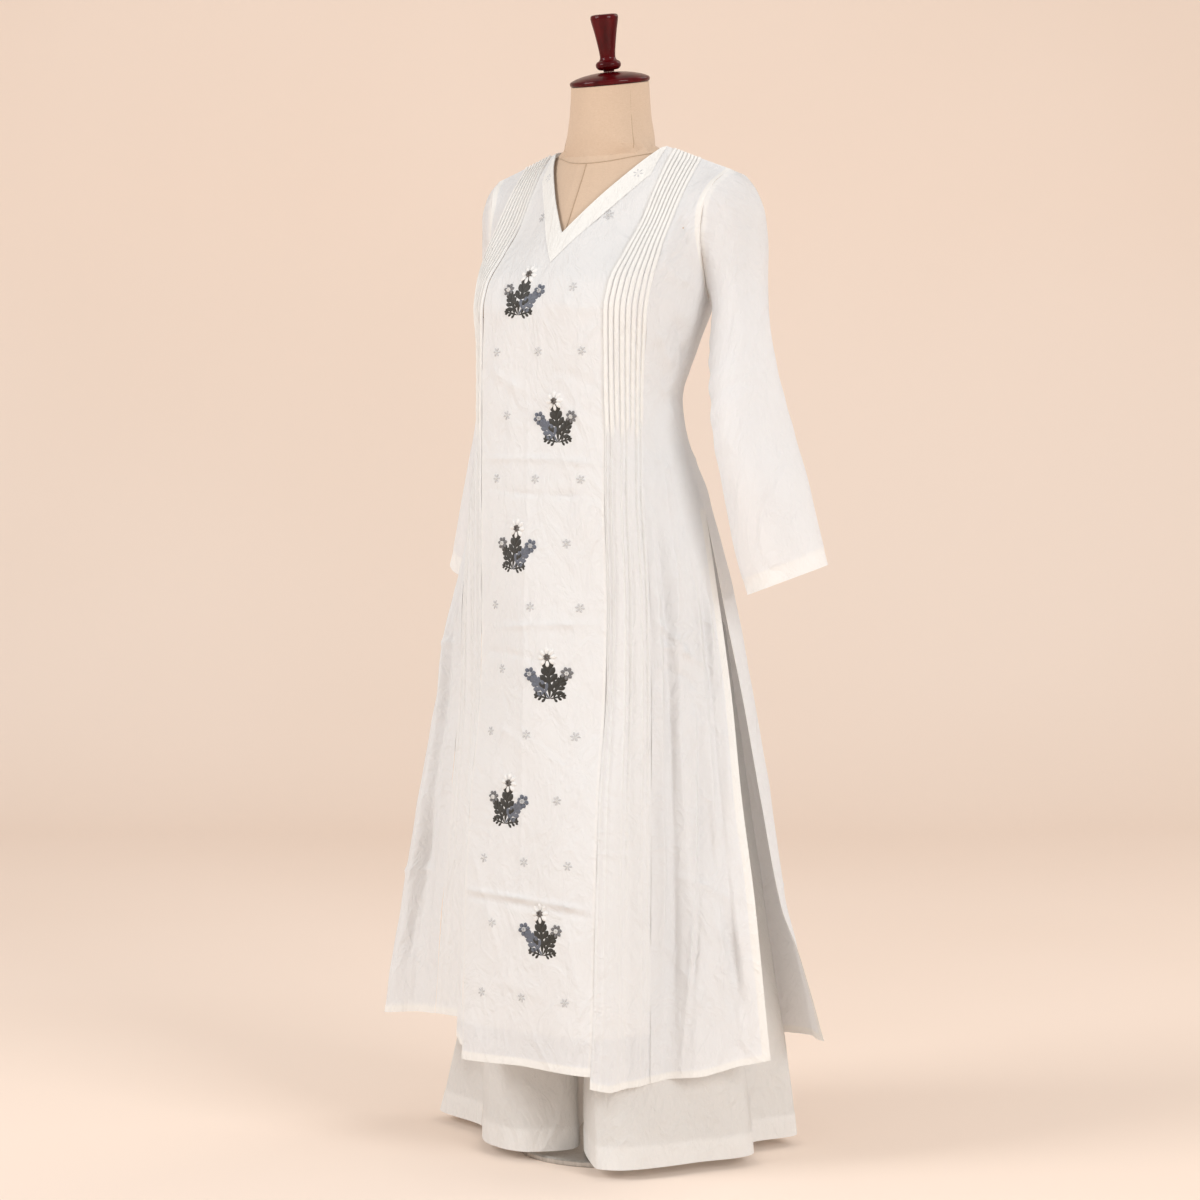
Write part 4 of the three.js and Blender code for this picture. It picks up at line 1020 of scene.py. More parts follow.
@dataclass(frozen=True)
class GlossFinish:
    """Colours and surface of lacquer, wood or metal."""

    name: str
    base: tuple[float, float, float]
    deep: tuple[float, float, float]
    roughness: float
    metallic: float = 0.0
    coat: float = 0.0
    grain: float = 60.0
    specular: float = 0.5
    stretch: tuple[float, float, float] = (1.0, 1.0, 0.12)


class Finishes:
    """Makes the materials."""

    @staticmethod
    def _new(name: str) -> tuple[bpy.types.Material, Sock, bpy.types.Node]:
        material = bpy.data.materials.new(name)
        material.use_nodes = True
        tree = material.node_tree
        shader = next(n for n in tree.nodes if n.type == "BSDF_PRINCIPLED")
        return material, Sock(tree, 0.0), shader

    @staticmethod
    def ridged(noise: Sock) -> Sock:
        """Thin ridges where a noise crosses its middle, like the creases of crumpled cloth."""
        signed = noise * 2.0 + -1.0
        away = signed.node("ShaderNodeMath", settings={"operation": "ABSOLUTE"}, i0=signed)
        return (away * -3.8 + 1.0).between(0.0, 1.0)

    @classmethod
    def cloth(cls, finish: ClothFinish) -> bpy.types.Material:
        """Fine plain weave: slubs, a faint thread grid, doubled places denser, light through single ones."""
        material, base, shader = cls._new(finish.name)
        tree = material.node_tree
        uv = base.node("ShaderNodeUVMap", 0, {"uv_map": "cloth"})
        dense = base.node("ShaderNodeAttribute", 2, {"attribute_name": "dense"})
        lined = base.node("ShaderNodeAttribute", 2, {"attribute_name": "lined"})
        weft = base.node("ShaderNodeMapping", 0, None, Vector=uv, Scale=(90.0, 1400.0, 1.0))
        warp = base.node("ShaderNodeMapping", 0, None, Vector=uv, Scale=(1400.0, 90.0, 1.0))
        across_slub = base.node("ShaderNodeTexNoise", 0, None, Vector=weft, Scale=1.0, Detail=2.0)
        along_slub = base.node("ShaderNodeTexNoise", 0, None, Vector=warp, Scale=1.0, Detail=2.0)
        cloud = base.node("ShaderNodeTexNoise", 0, None, Vector=uv, Scale=9.0, Detail=3.0)
        slub = across_slub * 0.55 + along_slub * 0.45
        single = lined.blend((*finish.single, 1), (*finish.lined, 1))
        colour = dense.blend(single, (*finish.doubled, 1))
        shade = (slub * 0.10 + cloud * 0.05).between(0.04, 0.12)
        darker = tuple(c * 0.93 for c in finish.single)
        veil = (shade * -0.16 + 0.16).blend(colour, (*darker, 1))
        warped = base.node("ShaderNodeMapping", 0, None, Vector=uv, Scale=(1.0, 0.55, 1.0))
        wrinkle = base.node(
            "ShaderNodeTexNoise", 0, None, Vector=warped, Scale=15.0, Detail=5.0, Distortion=1.4,
        )
        finer = base.node(
            "ShaderNodeTexNoise", 0, None, Vector=warped, Scale=44.0, Detail=4.0, Distortion=1.1,
        )
        crumple = cls.ridged(wrinkle) * 0.7 + cls.ridged(finer) * 0.3
        creased = base.node(
            "ShaderNodeBump", 0, None, Strength=finish.crumple, Distance=0.0045, Height=crumple,
        )
        bump = base.node(
            "ShaderNodeBump", 0, None, Strength=finish.slub, Distance=0.0006, Height=slub, Normal=creased,
        )
        tree.links.new(veil.socket, shader.inputs["Base Color"])
        tree.links.new(bump.socket, shader.inputs["Normal"])
        shader.inputs["Roughness"].default_value = 0.88
        shader.inputs["Specular IOR Level"].default_value = 0.25
        shader.inputs["Sheen Weight"].default_value = finish.sheen
        shader.inputs["Sheen Roughness"].default_value = 0.5
        through = base.node("ShaderNodeBsdfTranslucent", 0, None, Color=veil, Normal=bump)
        passed = dense * -0.35 + 1.0
        share = passed * (lined * -0.22 + 1.0) * finish.glow
        output = next(n for n in tree.nodes if n.type == "OUTPUT_MATERIAL")
        surface = Sock(tree, shader.outputs[0])
        mixed = base.node("ShaderNodeMixShader", 0, None, i0=share, i1=surface, i2=through)
        tree.links.new(mixed.socket, output.inputs["Surface"])
        return material

    @classmethod
    def linen(cls, finish: ClothFinish) -> bpy.types.Material:
        """Coarser linen of the form, in its own object space."""
        material, base, shader = cls._new(finish.name)
        tree = material.node_tree
        where = base.node("ShaderNodeTexCoord", 3)
        flat = base.node("ShaderNodeMapping", 0, None, Vector=where, Scale=(260.0, 260.0, 2400.0))
        tall = base.node("ShaderNodeMapping", 0, None, Vector=where, Scale=(2400.0, 2400.0, 200.0))
        threads = base.node("ShaderNodeTexNoise", 0, None, Vector=flat, Scale=1.0, Detail=2.0) * 0.6
        threads = threads + base.node("ShaderNodeTexNoise", 0, None, Vector=tall, Scale=1.0, Detail=2.0) * 0.4
        cloud = base.node("ShaderNodeTexNoise", 0, None, Vector=where, Scale=14.0, Detail=4.0)
        mottled = (threads * 0.75 + cloud * 0.25).between(0.32, 0.68)
        colour = mottled.blend((*finish.single, 1), (*finish.lined, 1))
        bump = base.node("ShaderNodeBump", 0, None, Strength=finish.slub, Distance=0.0008, Height=threads)
        tree.links.new(colour.socket, shader.inputs["Base Color"])
        tree.links.new(bump.socket, shader.inputs["Normal"])
        shader.inputs["Roughness"].default_value = 0.85
        shader.inputs["Sheen Weight"].default_value = finish.sheen
        return material

    @classmethod
    def gloss(cls, finish: GlossFinish) -> bpy.types.Material:
        """Lacquer or metal with drawn-out grain in colour and roughness."""
        material, base, shader = cls._new(finish.name)
        tree = material.node_tree
        where = base.node("ShaderNodeTexCoord", 3)
        drawn = base.node("ShaderNodeMapping", 0, None, Vector=where, Scale=finish.stretch)
        grain = base.node("ShaderNodeTexNoise", 0, None, Vector=drawn, Scale=finish.grain, Detail=5.0)
        colour = grain.between(0.35, 0.65).blend((*finish.deep, 1), (*finish.base, 1))
        rough = grain * 0.12 + (finish.roughness - 0.06)
        bump = base.node("ShaderNodeBump", 0, None, Strength=0.05, Distance=0.0004, Height=grain)
        tree.links.new(colour.socket, shader.inputs["Base Color"])
        tree.links.new(rough.socket, shader.inputs["Roughness"])
        tree.links.new(bump.socket, shader.inputs["Normal"])
        shader.inputs["Metallic"].default_value = finish.metallic
        shader.inputs["Specular IOR Level"].default_value = finish.specular
        shader.inputs["Coat Weight"].default_value = finish.coat
        shader.inputs["Coat Roughness"].default_value = 0.06
        return material

    @classmethod
    def paper(cls, name: str, low: Sequence[float], high: Sequence[float]) -> bpy.types.Material:
        """Matt paper with a faint cloudy change of colour."""
        material, base, shader = cls._new(name)
        where = base.node("ShaderNodeTexCoord", 3)
        cloud = base.node("ShaderNodeTexNoise", 0, None, Vector=where, Scale=0.6, Detail=2.0)
        colour = cloud.between(0.35, 0.65).blend((*low, 1), (*high, 1))
        material.node_tree.links.new(colour.socket, shader.inputs["Base Color"])
        shader.inputs["Roughness"].default_value = 0.9
        shader.inputs["Specular IOR Level"].default_value = 0.1
        return material

    @classmethod
    def thread(cls, name: str, light: Sequence[float], dark: Sequence[float]) -> bpy.types.Material:
        """Satin-stitched thread: fine lines along each petal, with the embroidery's soft lustre."""
        material, base, shader = cls._new(name)
        tree = material.node_tree
        uv = base.node("ShaderNodeUVMap", 0, {"uv_map": "cloth"})
        lines = base.node("ShaderNodeMapping", 0, None, Vector=uv, Scale=(9.0, 1.2, 1.0))
        strand = base.node("ShaderNodeTexNoise", 0, None, Vector=lines, Scale=1.0, Detail=3.0)
        colour = strand.between(0.3, 0.7).blend((*dark, 1), (*light, 1))
        bump = base.node("ShaderNodeBump", 0, None, Strength=0.6, Distance=0.0004, Height=strand)
        tree.links.new(colour.socket, shader.inputs["Base Color"])
        tree.links.new(bump.socket, shader.inputs["Normal"])
        shader.inputs["Roughness"].default_value = 0.55
        shader.inputs["Sheen Weight"].default_value = 0.2
        return material


class Hue(Enum):
    """Thread colours of the embroidery: light and dark."""

    WHITE = ((0.88, 0.875, 0.86), (0.68, 0.67, 0.655))
    SILVER = ((0.70, 0.70, 0.70), (0.46, 0.46, 0.47))
    SLATE = ((0.155, 0.17, 0.21), (0.07, 0.08, 0.105))
    GREY = ((0.24, 0.235, 0.24), (0.10, 0.10, 0.105))
    TAUPE = ((0.19, 0.165, 0.15), (0.085, 0.075, 0.068))
    OLIVE = ((0.028, 0.024, 0.016), (0.008, 0.007, 0.005))


def beyond(spot: tuple[float, float], angle: float, distance: float) -> tuple[float, float]:
    """The point at a distance from a spot, the angle taken from +X towards +Z."""
    return (spot[0] + distance * math.cos(angle), spot[1] + distance * math.sin(angle))


@dataclass
class StitchBook:
    """Collects petals and leaves by hue, then makes one mesh for each hue.

    A petal is a small domed patch: its outline narrows at both ends and its middle stands off the cloth.
    """

    place_on: Callable[[Array, Array], tuple[Array, Array]]
    rows: int = 9
    columns: int = 5
    patches: dict[Hue, list[Array]] = field(default_factory=dict)
    marks: dict[Hue, list[Array]] = field(default_factory=dict)

    def petal(self, hue: Hue, base: tuple[float, float], angle: float, length: float, width: float,
              height: float, fullness: float = 0.6) -> None:
        """Adds a petal.

        Args:
            hue: its thread.
            base: x and z of its root in millimetres.
            angle: direction from the root, from +X towards +Z, in radians.
            length: root to tip.
            width: widest part.
            height: how far its middle stands off the cloth.
            fullness: where along it the petal is widest; above 0.5 is nearer the tip.
        """
        v = np.linspace(0, 1, self.rows)[:, None]
        u = np.linspace(-1, 1, self.columns)[None, :]
        outline = np.sin(math.pi * v ** (math.log(0.5) / math.log(fullness))) ** 0.75
        along, side = v * length + 0 * u, u * outline * width / 2
        x = base[0] + along * math.cos(angle) - side * math.sin(angle)
        z = base[1] + along * math.sin(angle) + side * math.cos(angle)
        lift = height * np.sqrt(np.clip(1 - u ** 2, 0, 1)) * np.sqrt(np.clip(outline, 0, 1)) + 0.05
        points, normals = self.place_on(x, z)
        self.patches.setdefault(hue, []).append(points + normals * lift[..., None])
        offset = len(self.patches[hue]) * 1.7
        self.marks.setdefault(hue, []).append(np.stack([u * 1.5 + offset + 0 * v, v * 3.0 + 0 * u], -1))

    def flower(self, hue: Hue, centre: tuple[float, float], radius: float, petals: int, turn: float,
               height: float, spread: float = 0.95) -> None:
        """Adds a round flower of equal petals."""
        for k in range(petals):
            angle = turn + 2 * math.pi * k / petals
            width = spread * 2 * math.pi * radius * 0.62 / petals
            self.petal(hue, beyond(centre, angle, 0.12 * radius), angle, radius * 0.88, width, height, 0.62)

    def sprig(self, hue: Hue, root: tuple[float, float], angle: float, length: float, pairs: int) -> None:
        """Adds a stem with a leaf at its tip and pairs of leaves beside it."""
        self.petal(hue, root, angle, length * 0.8, length * 0.11, 0.45, 0.5)
        self.petal(hue, beyond(root, angle, 0.58 * length), angle, length * 0.40, length * 0.19, 1.0, 0.58)
        for k in range(pairs):
            share = 0.22 + 0.46 * k / max(1, pairs - 1)
            spot = beyond(root, angle, share * length)
            for sign in (-1, 1):
                lean = angle + sign * (0.95 - 0.15 * k)
                self.petal(hue, spot, lean, length * (0.34 - 0.03 * k), length * 0.15, 0.9, 0.62)

    def finish(self, prefix: str, materials: dict[Hue, bpy.types.Material]) -> list[bpy.types.Object]:
        """Makes one joined mesh for each hue used."""
        made = []
        for hue, patches in self.patches.items():
            points = np.stack(patches)
            count, rows, columns = points.shape[:3]
            grid = MeshMaker.quads(rows, columns, False, False)
            faces = (grid[None] + (np.arange(count) * rows * columns)[:, None, None]).reshape(-1, 4)
            uv = np.stack(self.marks[hue]).reshape(-1, 2)[faces]
            name = f"{prefix}_{hue.name.lower()}"
            made.append(MeshMaker.make(name, points * MM, faces, materials[hue], None, uv))
        return made


@dataclass
class Embroidery:
    """Sprays that alternate left and right down the centre front, with small flowers in rows between them."""

    centre: ClothGrid
    posies: Sequence[tuple[float, float]] = (
        (-32, 1115), (32, 955), (-32, 795), (32, 635), (-32, 475), (32, 315),
    )
    sprinkle: Sequence[tuple[float, float]] = (
        (-70, 1262), (70, 1262), (-52, 1208), (52, 1208),
        (48, 1115), (-48, 955), (48, 795), (-48, 635), (48, 475), (-48, 315),
        (-66, 1035), (0, 1035), (66, 1035), (-66, 875), (0, 875), (66, 875), (-66, 715), (0, 715), (66, 715),
        (-66, 555), (0, 555), (66, 555), (-66, 395), (0, 395), (66, 395), (-66, 225), (0, 225), (66, 225),
    )

    surface: Array = field(init=False)
    normals: Array = field(init=False)

    def __post_init__(self) -> None:
        """Keeps the panel's points and normals."""
        self.surface, self.normals = self.centre.surface(), self.centre.normals()

    def surface_at(self, x: Array, z: Array) -> tuple[Array, Array]:
        """Points and normals of the centre panel at given x and z.

        The panel faces forwards, so its depth is one number for each x and z: it is read from the panel's
        points, first along the columns by height, then between the columns by x.
        """
        surface, normals = self.surface, self.normals
        rows = surface.shape[1]
        low, high = surface[:, 0, 2], surface[:, -1, 2]
        shape = x.shape
        x, z = x.ravel(), z.ravel()
        middle_row = surface[:, rows // 3, 0]
        column = np.clip(np.searchsorted(middle_row, x) - 1, 0, len(middle_row) - 2)
        for _ in range(3):
            share = np.clip((z - low[column]) / (high[column] - low[column]), 0, 1) * (rows - 1)
            row = np.clip(share.astype(int), 0, rows - 1)
            following = np.minimum(column + 1, len(low) - 1)
            column = np.clip(column + (surface[following, row, 0] < x), 0, len(low) - 2)
            column = np.clip(column - (surface[column, row, 0] > x), 0, len(low) - 2)

        def sample(table: Array, col: Array) -> Array:
            share = np.clip((z - low[col]) / (high[col] - low[col]), 0, 1) * (rows - 1)
            row = np.minimum(share.astype(int), rows - 2)
            t = (share - row)[:, None]
            return mix(table[col, row], table[col, row + 1], t)

        left, right = sample(surface, column), sample(surface, column + 1)
        t = np.clip((x - left[:, 0]) / np.maximum(1e-6, right[:, 0] - left[:, 0]), 0, 1)[:, None]
        points = mix(left, right, t)
        points[:, 0], points[:, 2] = x, z
        normal = mix(sample(normals, column), sample(normals, column + 1), t)
        normal /= np.linalg.norm(normal, axis=-1, keepdims=True)
        return points.reshape(*shape, 3), normal.reshape(*shape, 3)

    def posy(self, book: StitchBook, centre: tuple[float, float], side: int) -> None:
        """One spray: leafy stems from one foot, an open daisy at the head and a smaller one on each side.

        Args:
            book: where its stitches are kept.
            centre: x and z of its middle in millimetres.
            side: 1 to lean towards -X, -1 towards +X.
        """
        foot = (centre[0], centre[1] - SPRAY_FOOT)
        for degrees, length, leaf, petals, radius, hue, top in (
            (96, 52, Hue.OLIVE, 8, 13.0, Hue.WHITE, Hue.TAUPE),
            (134, 42, Hue.SLATE, 6, 9.0, Hue.SLATE, Hue.SILVER),
            (58, 38, Hue.OLIVE, 7, 8.5, Hue.GREY, Hue.WHITE),
        ):
            angle = math.radians(90 + side * (degrees - 90))
            head = beyond(foot, angle, length)
            book.sprig(leaf, foot, angle, length, 4)
            book.flower(hue, head, radius, petals, angle, 2.0, 1.0)
            book.flower(top, head, radius * 0.36, 6, angle, 3.2, 1.4)
        for degrees, length in ((168, 24), (14, 22)):
            book.sprig(Hue.OLIVE, foot, math.radians(90 + side * (degrees - 90)), length, 3)

    def make(self, materials: dict[Hue, bpy.types.Material]) -> list[bpy.types.Object]:
        """Makes all the stitching as one mesh for each thread."""
        posies = StitchBook(self.surface_at)
        for k, centre in enumerate(self.posies):
            self.posy(posies, centre, 1 if k % 2 else -1)
        stars = StitchBook(self.surface_at, rows=7)
        for k, centre in enumerate(self.sprinkle):
            stars.flower(Hue.SILVER, centre, 6.4, 6, 0.5 + 0.37 * k, 1.3, 0.6)
            stars.flower(Hue.WHITE, centre, 1.9, 5, 0.2 * k, 1.6)
        return [*posies.finish("posy", materials), *stars.finish("sprinkle", materials)]


@dataclass
class FormDresser:
    """Linen, seams and turned wood of the dress form, and the metal of its stand."""

    nodes: dict[str, bpy.types.Object]
    cap_tilt: float = 0.157
    cap_height: float = 1383.0

    def repaint(self, name: str, material: bpy.types.Material) -> None:
        """Gives a rigid node of the frame its finish."""
        mesh = self.nodes[name].data
        mesh.materials.clear()
        mesh.materials.append(material)
        mesh.polygons.foreach_set("use_smooth", np.ones(len(mesh.polygons), bool))

    def turned(self, name: str, profile: Sequence[tuple[float, float]],
               material: bpy.types.Material) -> bpy.types.Object:
        """A turned piece: its profile, smoothed into a spline, swept round the tilted axis.

        Args:
            name: the piece's name.
            profile: radius and height along the axis, in millimetres.
            material: its finish.

        Returns:
            The piece.
        """
        rows = np.array([(0.01, profile[0][1]), *profile, (0.01, profile[-1][1])], float)
        steps = np.concatenate([[0], np.cumsum(np.linalg.norm(np.diff(rows, axis=0), axis=1))])
        fine = np.unique(np.concatenate([np.linspace(0, steps[-1], 140), steps]))
        curve = Line(np.column_stack([steps, rows])).at(fine)
        angle = np.linspace(0, 2 * math.pi, 96, endpoint=False)[:, None]
        radius, height = curve[None, :, 0], curve[None, :, 1]
        x, y = radius * np.sin(angle), -radius * np.cos(angle)
        c, s = math.cos(self.cap_tilt), math.sin(self.cap_tilt)
        points = np.stack([x, y * c - height * s, y * s + height * c + self.cap_height], -1)
        faces = MeshMaker.quads(len(angle), len(fine), True, False)
        return MeshMaker.make(name, points * MM, faces, material)

    @staticmethod
    def inward(turn: float, height: float) -> tuple[Vector, Vector]:
        """Start and direction of a level ray towards the form's axis, from an angle round it."""
        x, y = math.sin(turn), -math.cos(turn)
        return Vector((RAY_START * x, RAY_START * y, height)), Vector((-x, -y, 0))

    def torso_tree(self) -> BVHTree:
        """The torso's surface for ray casting."""
        mesh = self.nodes["form_torso"].data
        return BVHTree.FromPolygons([v.co for v in mesh.vertices], [p.vertices for p in mesh.polygons])

    def neck_cover(self, material: bpy.types.Material) -> bpy.types.Object:
        """Linen drawn smoothly over the neck.

        Its radius at each angle and height is the torso's own, averaged over neighbouring angles and heights,
        a little outside it; its lower edge dips under the torso's surface at the seam.
        """
        tree = self.torso_tree()
        turns = np.linspace(0, 2 * math.pi, 144, endpoint=False)
        rise = np.linspace(0, 1, 40)[None, :]
        low = 1.281 + 0.014 * (1 - np.cos(turns))[:, None]
        high = 1.3815 - 0.0078 * np.cos(turns)[:, None]
        heights = mix(low, high, rise)
        hits = [[tree.ray_cast(*self.inward(turn, z))[0] for z in row] for turn, row in zip(turns, heights)]
        radius = np.array([[hit.xy.length if hit else np.nan for hit in row] for row in hits])
        radius = np.where(np.isnan(radius), np.nanmean(radius), radius)
        kernel = np.hanning(13)[1:-1] / np.hanning(13)[1:-1].sum()
        wrapped = np.concatenate([radius[-5:], radius, radius[:5]])
        radius = np.apply_along_axis(np.convolve, 0, wrapped, kernel, "valid")
        padded = np.pad(radius, ((0, 0), (5, 5)), mode="edge")
        radius = np.apply_along_axis(np.convolve, 1, padded, kernel, "valid")
        radius = radius + mix(-0.0012, 0.0007, smooth(rise / 0.12))
        points = np.stack([radius * np.sin(turns)[:, None], -radius * np.cos(turns)[:, None], heights], -1)
        return MeshMaker.make("form_neck_linen", points, MeshMaker.quads(144, 40, True, False), material)

    def seam(self, name: str, rays: Sequence[tuple[Vector, Vector]],
             material: bpy.types.Material) -> bpy.types.Object:
        """A sewn seam on the form: a thin cord of stitches through the points where rays meet the linen."""
        tree = self.torso_tree()
        hits = [tree.ray_cast(origin, direction) for origin, direction in rays]
        spine = np.array([h[0] for h in hits if h[0] is not None])
        normal = np.array([h[1] for h in hits if h[0] is not None])
        along = np.gradient(spine, axis=0)
        along /= np.linalg.norm(along, axis=1, keepdims=True)
        side = np.cross(along, normal)
        turn = np.linspace(0, 2 * math.pi, 8, endpoint=False)[:, None, None]
        ring = np.cos(turn) * side[None] * 0.0005 + np.sin(turn) * normal[None] * 0.0004
        points = spine[None] + normal[None] * 0.0004 + ring
        faces = MeshMaker.quads(8, len(spine), True, False)
        return MeshMaker.make(name, points, faces, material)

    def front_rays(self) -> list[tuple[Vector, Vector]]:
        """Rays for the seam down the middle of the chest."""
        return [self.inward(0.0, z) for z in np.linspace(1.276, 1.17, 60)]

    def base_rays(self) -> list[tuple[Vector, Vector]]:
        """Rays for the seam round the neck's foot, lower in front than behind."""
        turns = np.linspace(0, 2 * math.pi, 121)
        heights = 1.277 + 0.028 * (0.5 - 0.5 * np.cos(turns))
        return [self.inward(turn, z) for turn, z in zip(turns, heights)]

    def side_rays(self, side: Side) -> list[tuple[Vector, Vector]]:
        """Rays for the seam up the side of the neck."""
        return [self.inward(1.15 * side.value, z) for z in np.linspace(1.296, 1.374, 40)]


@dataclass
class Studio:
    """Floor, backdrop, lights and camera."""

    azimuth: float = 35.0
    distance: float = 4.1
    eye_height: float = 0.944
    focal_pixels: float = 3162.0
    image_side: float = 1200.0
    horizon_row: float = 424.0
    axis_column: float = 610.0
    shift_share: float = 0.05
    paper_near: float = -9.0
    paper_far: float = 3.2
    paper_bend: float = 1.6
    paper_top: float = 7.0
    paper_side: float = 9.0

    def camera(self) -> None:
        """Places the camera where the photograph was taken, mostly tilted down and a little shifted."""
        data = bpy.data.cameras.new("camera")
        eye = bpy.data.objects.new("camera", data)
        bpy.context.scene.collection.objects.link(eye)
        turn = math.radians(self.azimuth)
        eye.location = (self.distance * math.sin(turn), -self.distance * math.cos(turn), self.eye_height)
        axis_row = self.image_side * (0.5 - self.shift_share)
        tilt = math.atan((axis_row - self.horizon_row) / self.focal_pixels)
        swing = math.atan((self.axis_column - self.image_side / 2) / self.focal_pixels)
        eye.rotation_euler = (math.pi / 2 - tilt, 0, turn + swing)
        data.sensor_width = 36.0
        data.lens = 36.0 * self.focal_pixels / self.image_side
        data.shift_y = -self.shift_share
        data.clip_end = 60.0
        bpy.context.scene.camera = eye

    def backdrop(self) -> None:
        """Pale paper sweep: flat floor that curves up into a wall behind."""
        bend = np.linspace(0, HALF_PI, 24)
        curve = self.paper_bend * np.stack([np.sin(bend), 1 - np.cos(bend)], -1) + (self.paper_far, 0)
        wall = (self.paper_far + self.paper_bend, self.paper_top)
        rows = np.vstack([(self.paper_near, 0), curve, wall])
        turn = math.radians(self.azimuth)
        ahead = np.array([-math.sin(turn), math.cos(turn)])
        across_view = np.array([math.cos(turn), math.sin(turn)])
        wide = np.linspace(-self.paper_side, self.paper_side, 3)
        xy = rows[None, :, :1] * ahead + wide[:, None, None] * across_view
        points = np.concatenate([xy, np.broadcast_to(rows[None, :, 1:], (*xy.shape[:2], 1))], -1)
        faces = MeshMaker.quads(len(wide), len(rows), False, False)
        material = Finishes.paper("paper", (0.90, 0.755, 0.645), (0.92, 0.78, 0.675))
        sweep = MeshMaker.make("sweep", points, faces, material)

    def area(self, name: str, place: tuple[float, float, float], target: tuple[float, float, float],
             size: float, power: float, colour: tuple[float, float, float]) -> None:
        """A square soft light at a place, turned to a target."""
        data = bpy.data.lights.new(name, "AREA")
        data.shape = "SQUARE"
        data.size = size
        data.energy = power
        data.color = colour
        lamp = bpy.data.objects.new(name, data)
        lamp.location = place
        lamp.rotation_mode = "QUATERNION"
        lamp.rotation_quaternion = (Vector(target) - Vector(place)).to_track_quat("-Z", "Y")
        bpy.context.scene.collection.objects.link(lamp)

    def lights(self) -> None:
        """Big key from the front left of the picture, broad fill and an even world."""
        self.area("key", (-2.3, -3.7, 3.0), (0, 0, 0.8), 2.2, 118, (1.0, 0.995, 0.99))
        self.area("fill", (4.6, -1.4, 2.4), (0, 0, 0.8), 2.2, 125, (0.99, 0.995, 1.0))
        self.area("rim", (1.4, 3.0, 3.6), (0, 0, 1.0), 2.2, 34, (1.0, 0.97, 0.94))
        world = bpy.data.worlds.new("studio")
        world.use_nodes = True
        bpy.context.scene.world = world
        background = next(n for n in world.node_tree.nodes if n.type == "BACKGROUND")
        background.inputs["Color"].default_value = (1.0, 0.975, 0.955, 1)
        background.inputs["Strength"].default_value = 0.56
        bpy.context.scene.view_settings.view_transform = "Standard"


@dataclass(frozen=True)
class Cut:
    """Flat cut of a cloth piece.

    Attributes:
        node: the frame's node that it stands for.
        width: flat width in metres; not used.
        length: flat length in metres; not used.
        area: flat area in square metres; not used.
        rests_on: what it lies on or hangs from; not used.
        held: how the cloth is held; not used.
    """

    node: str
    width: float
    length: float
    area: float
    rests_on: tuple[str, ...]
    held: str = "hung"


CUTS: dict[str, Cut] = {
    "front_centre_cloth": Cut("kurta_front_centre", 0.205, 1.18, 0.224, ("form_torso",)),
    "tucks_left_cloth": Cut("kurta_tucks_left", 0.095, 1.20, 0.103, ("form_torso",)),
    "tucks_right_cloth": Cut("kurta_tucks_right", 0.12, 1.16, 0.108, ("form_torso",)),
    "front_left_cloth": Cut("kurta_front_left", 0.17, 1.16, 0.125, ("form_torso",)),
    "front_right_cloth": Cut("kurta_front_right", 0.19, 1.13, 0.138, ("form_torso",)),
    "back_cloth": Cut("kurta_back", 0.68, 1.17, 0.57, ("form_torso",)),
    "neck_band_cloth": Cut("kurta_neck_band", 0.30, 0.030, 0.0083, ("front_centre_cloth",)),
    "sleeve_left_cloth": Cut("kurta_sleeve_left", 0.37, 0.52, 0.145, ("front_left_cloth", "back_cloth")),
    "sleeve_right_cloth": Cut("kurta_sleeve_right", 0.32, 0.52, 0.12, ("front_right_cloth", "back_cloth")),
    "waistband_cloth": Cut("trouser_waistband", 0.66, 0.036, 0.0237, ("form_torso",), "gathered"),
    "trouser_front_left_cloth": Cut("trouser_front_left", 0.42, 0.96, 0.31, ("waistband_cloth",)),
    "trouser_back_left_cloth": Cut("trouser_back_left", 0.38, 0.96, 0.29, ("waistband_cloth",)),
    "trouser_front_right_cloth": Cut("trouser_front_right", 0.32, 0.96, 0.24, ("waistband_cloth",)),
    "trouser_back_right_cloth": Cut("trouser_back_right", 0.36, 0.96, 0.27, ("waistband_cloth",)),
}


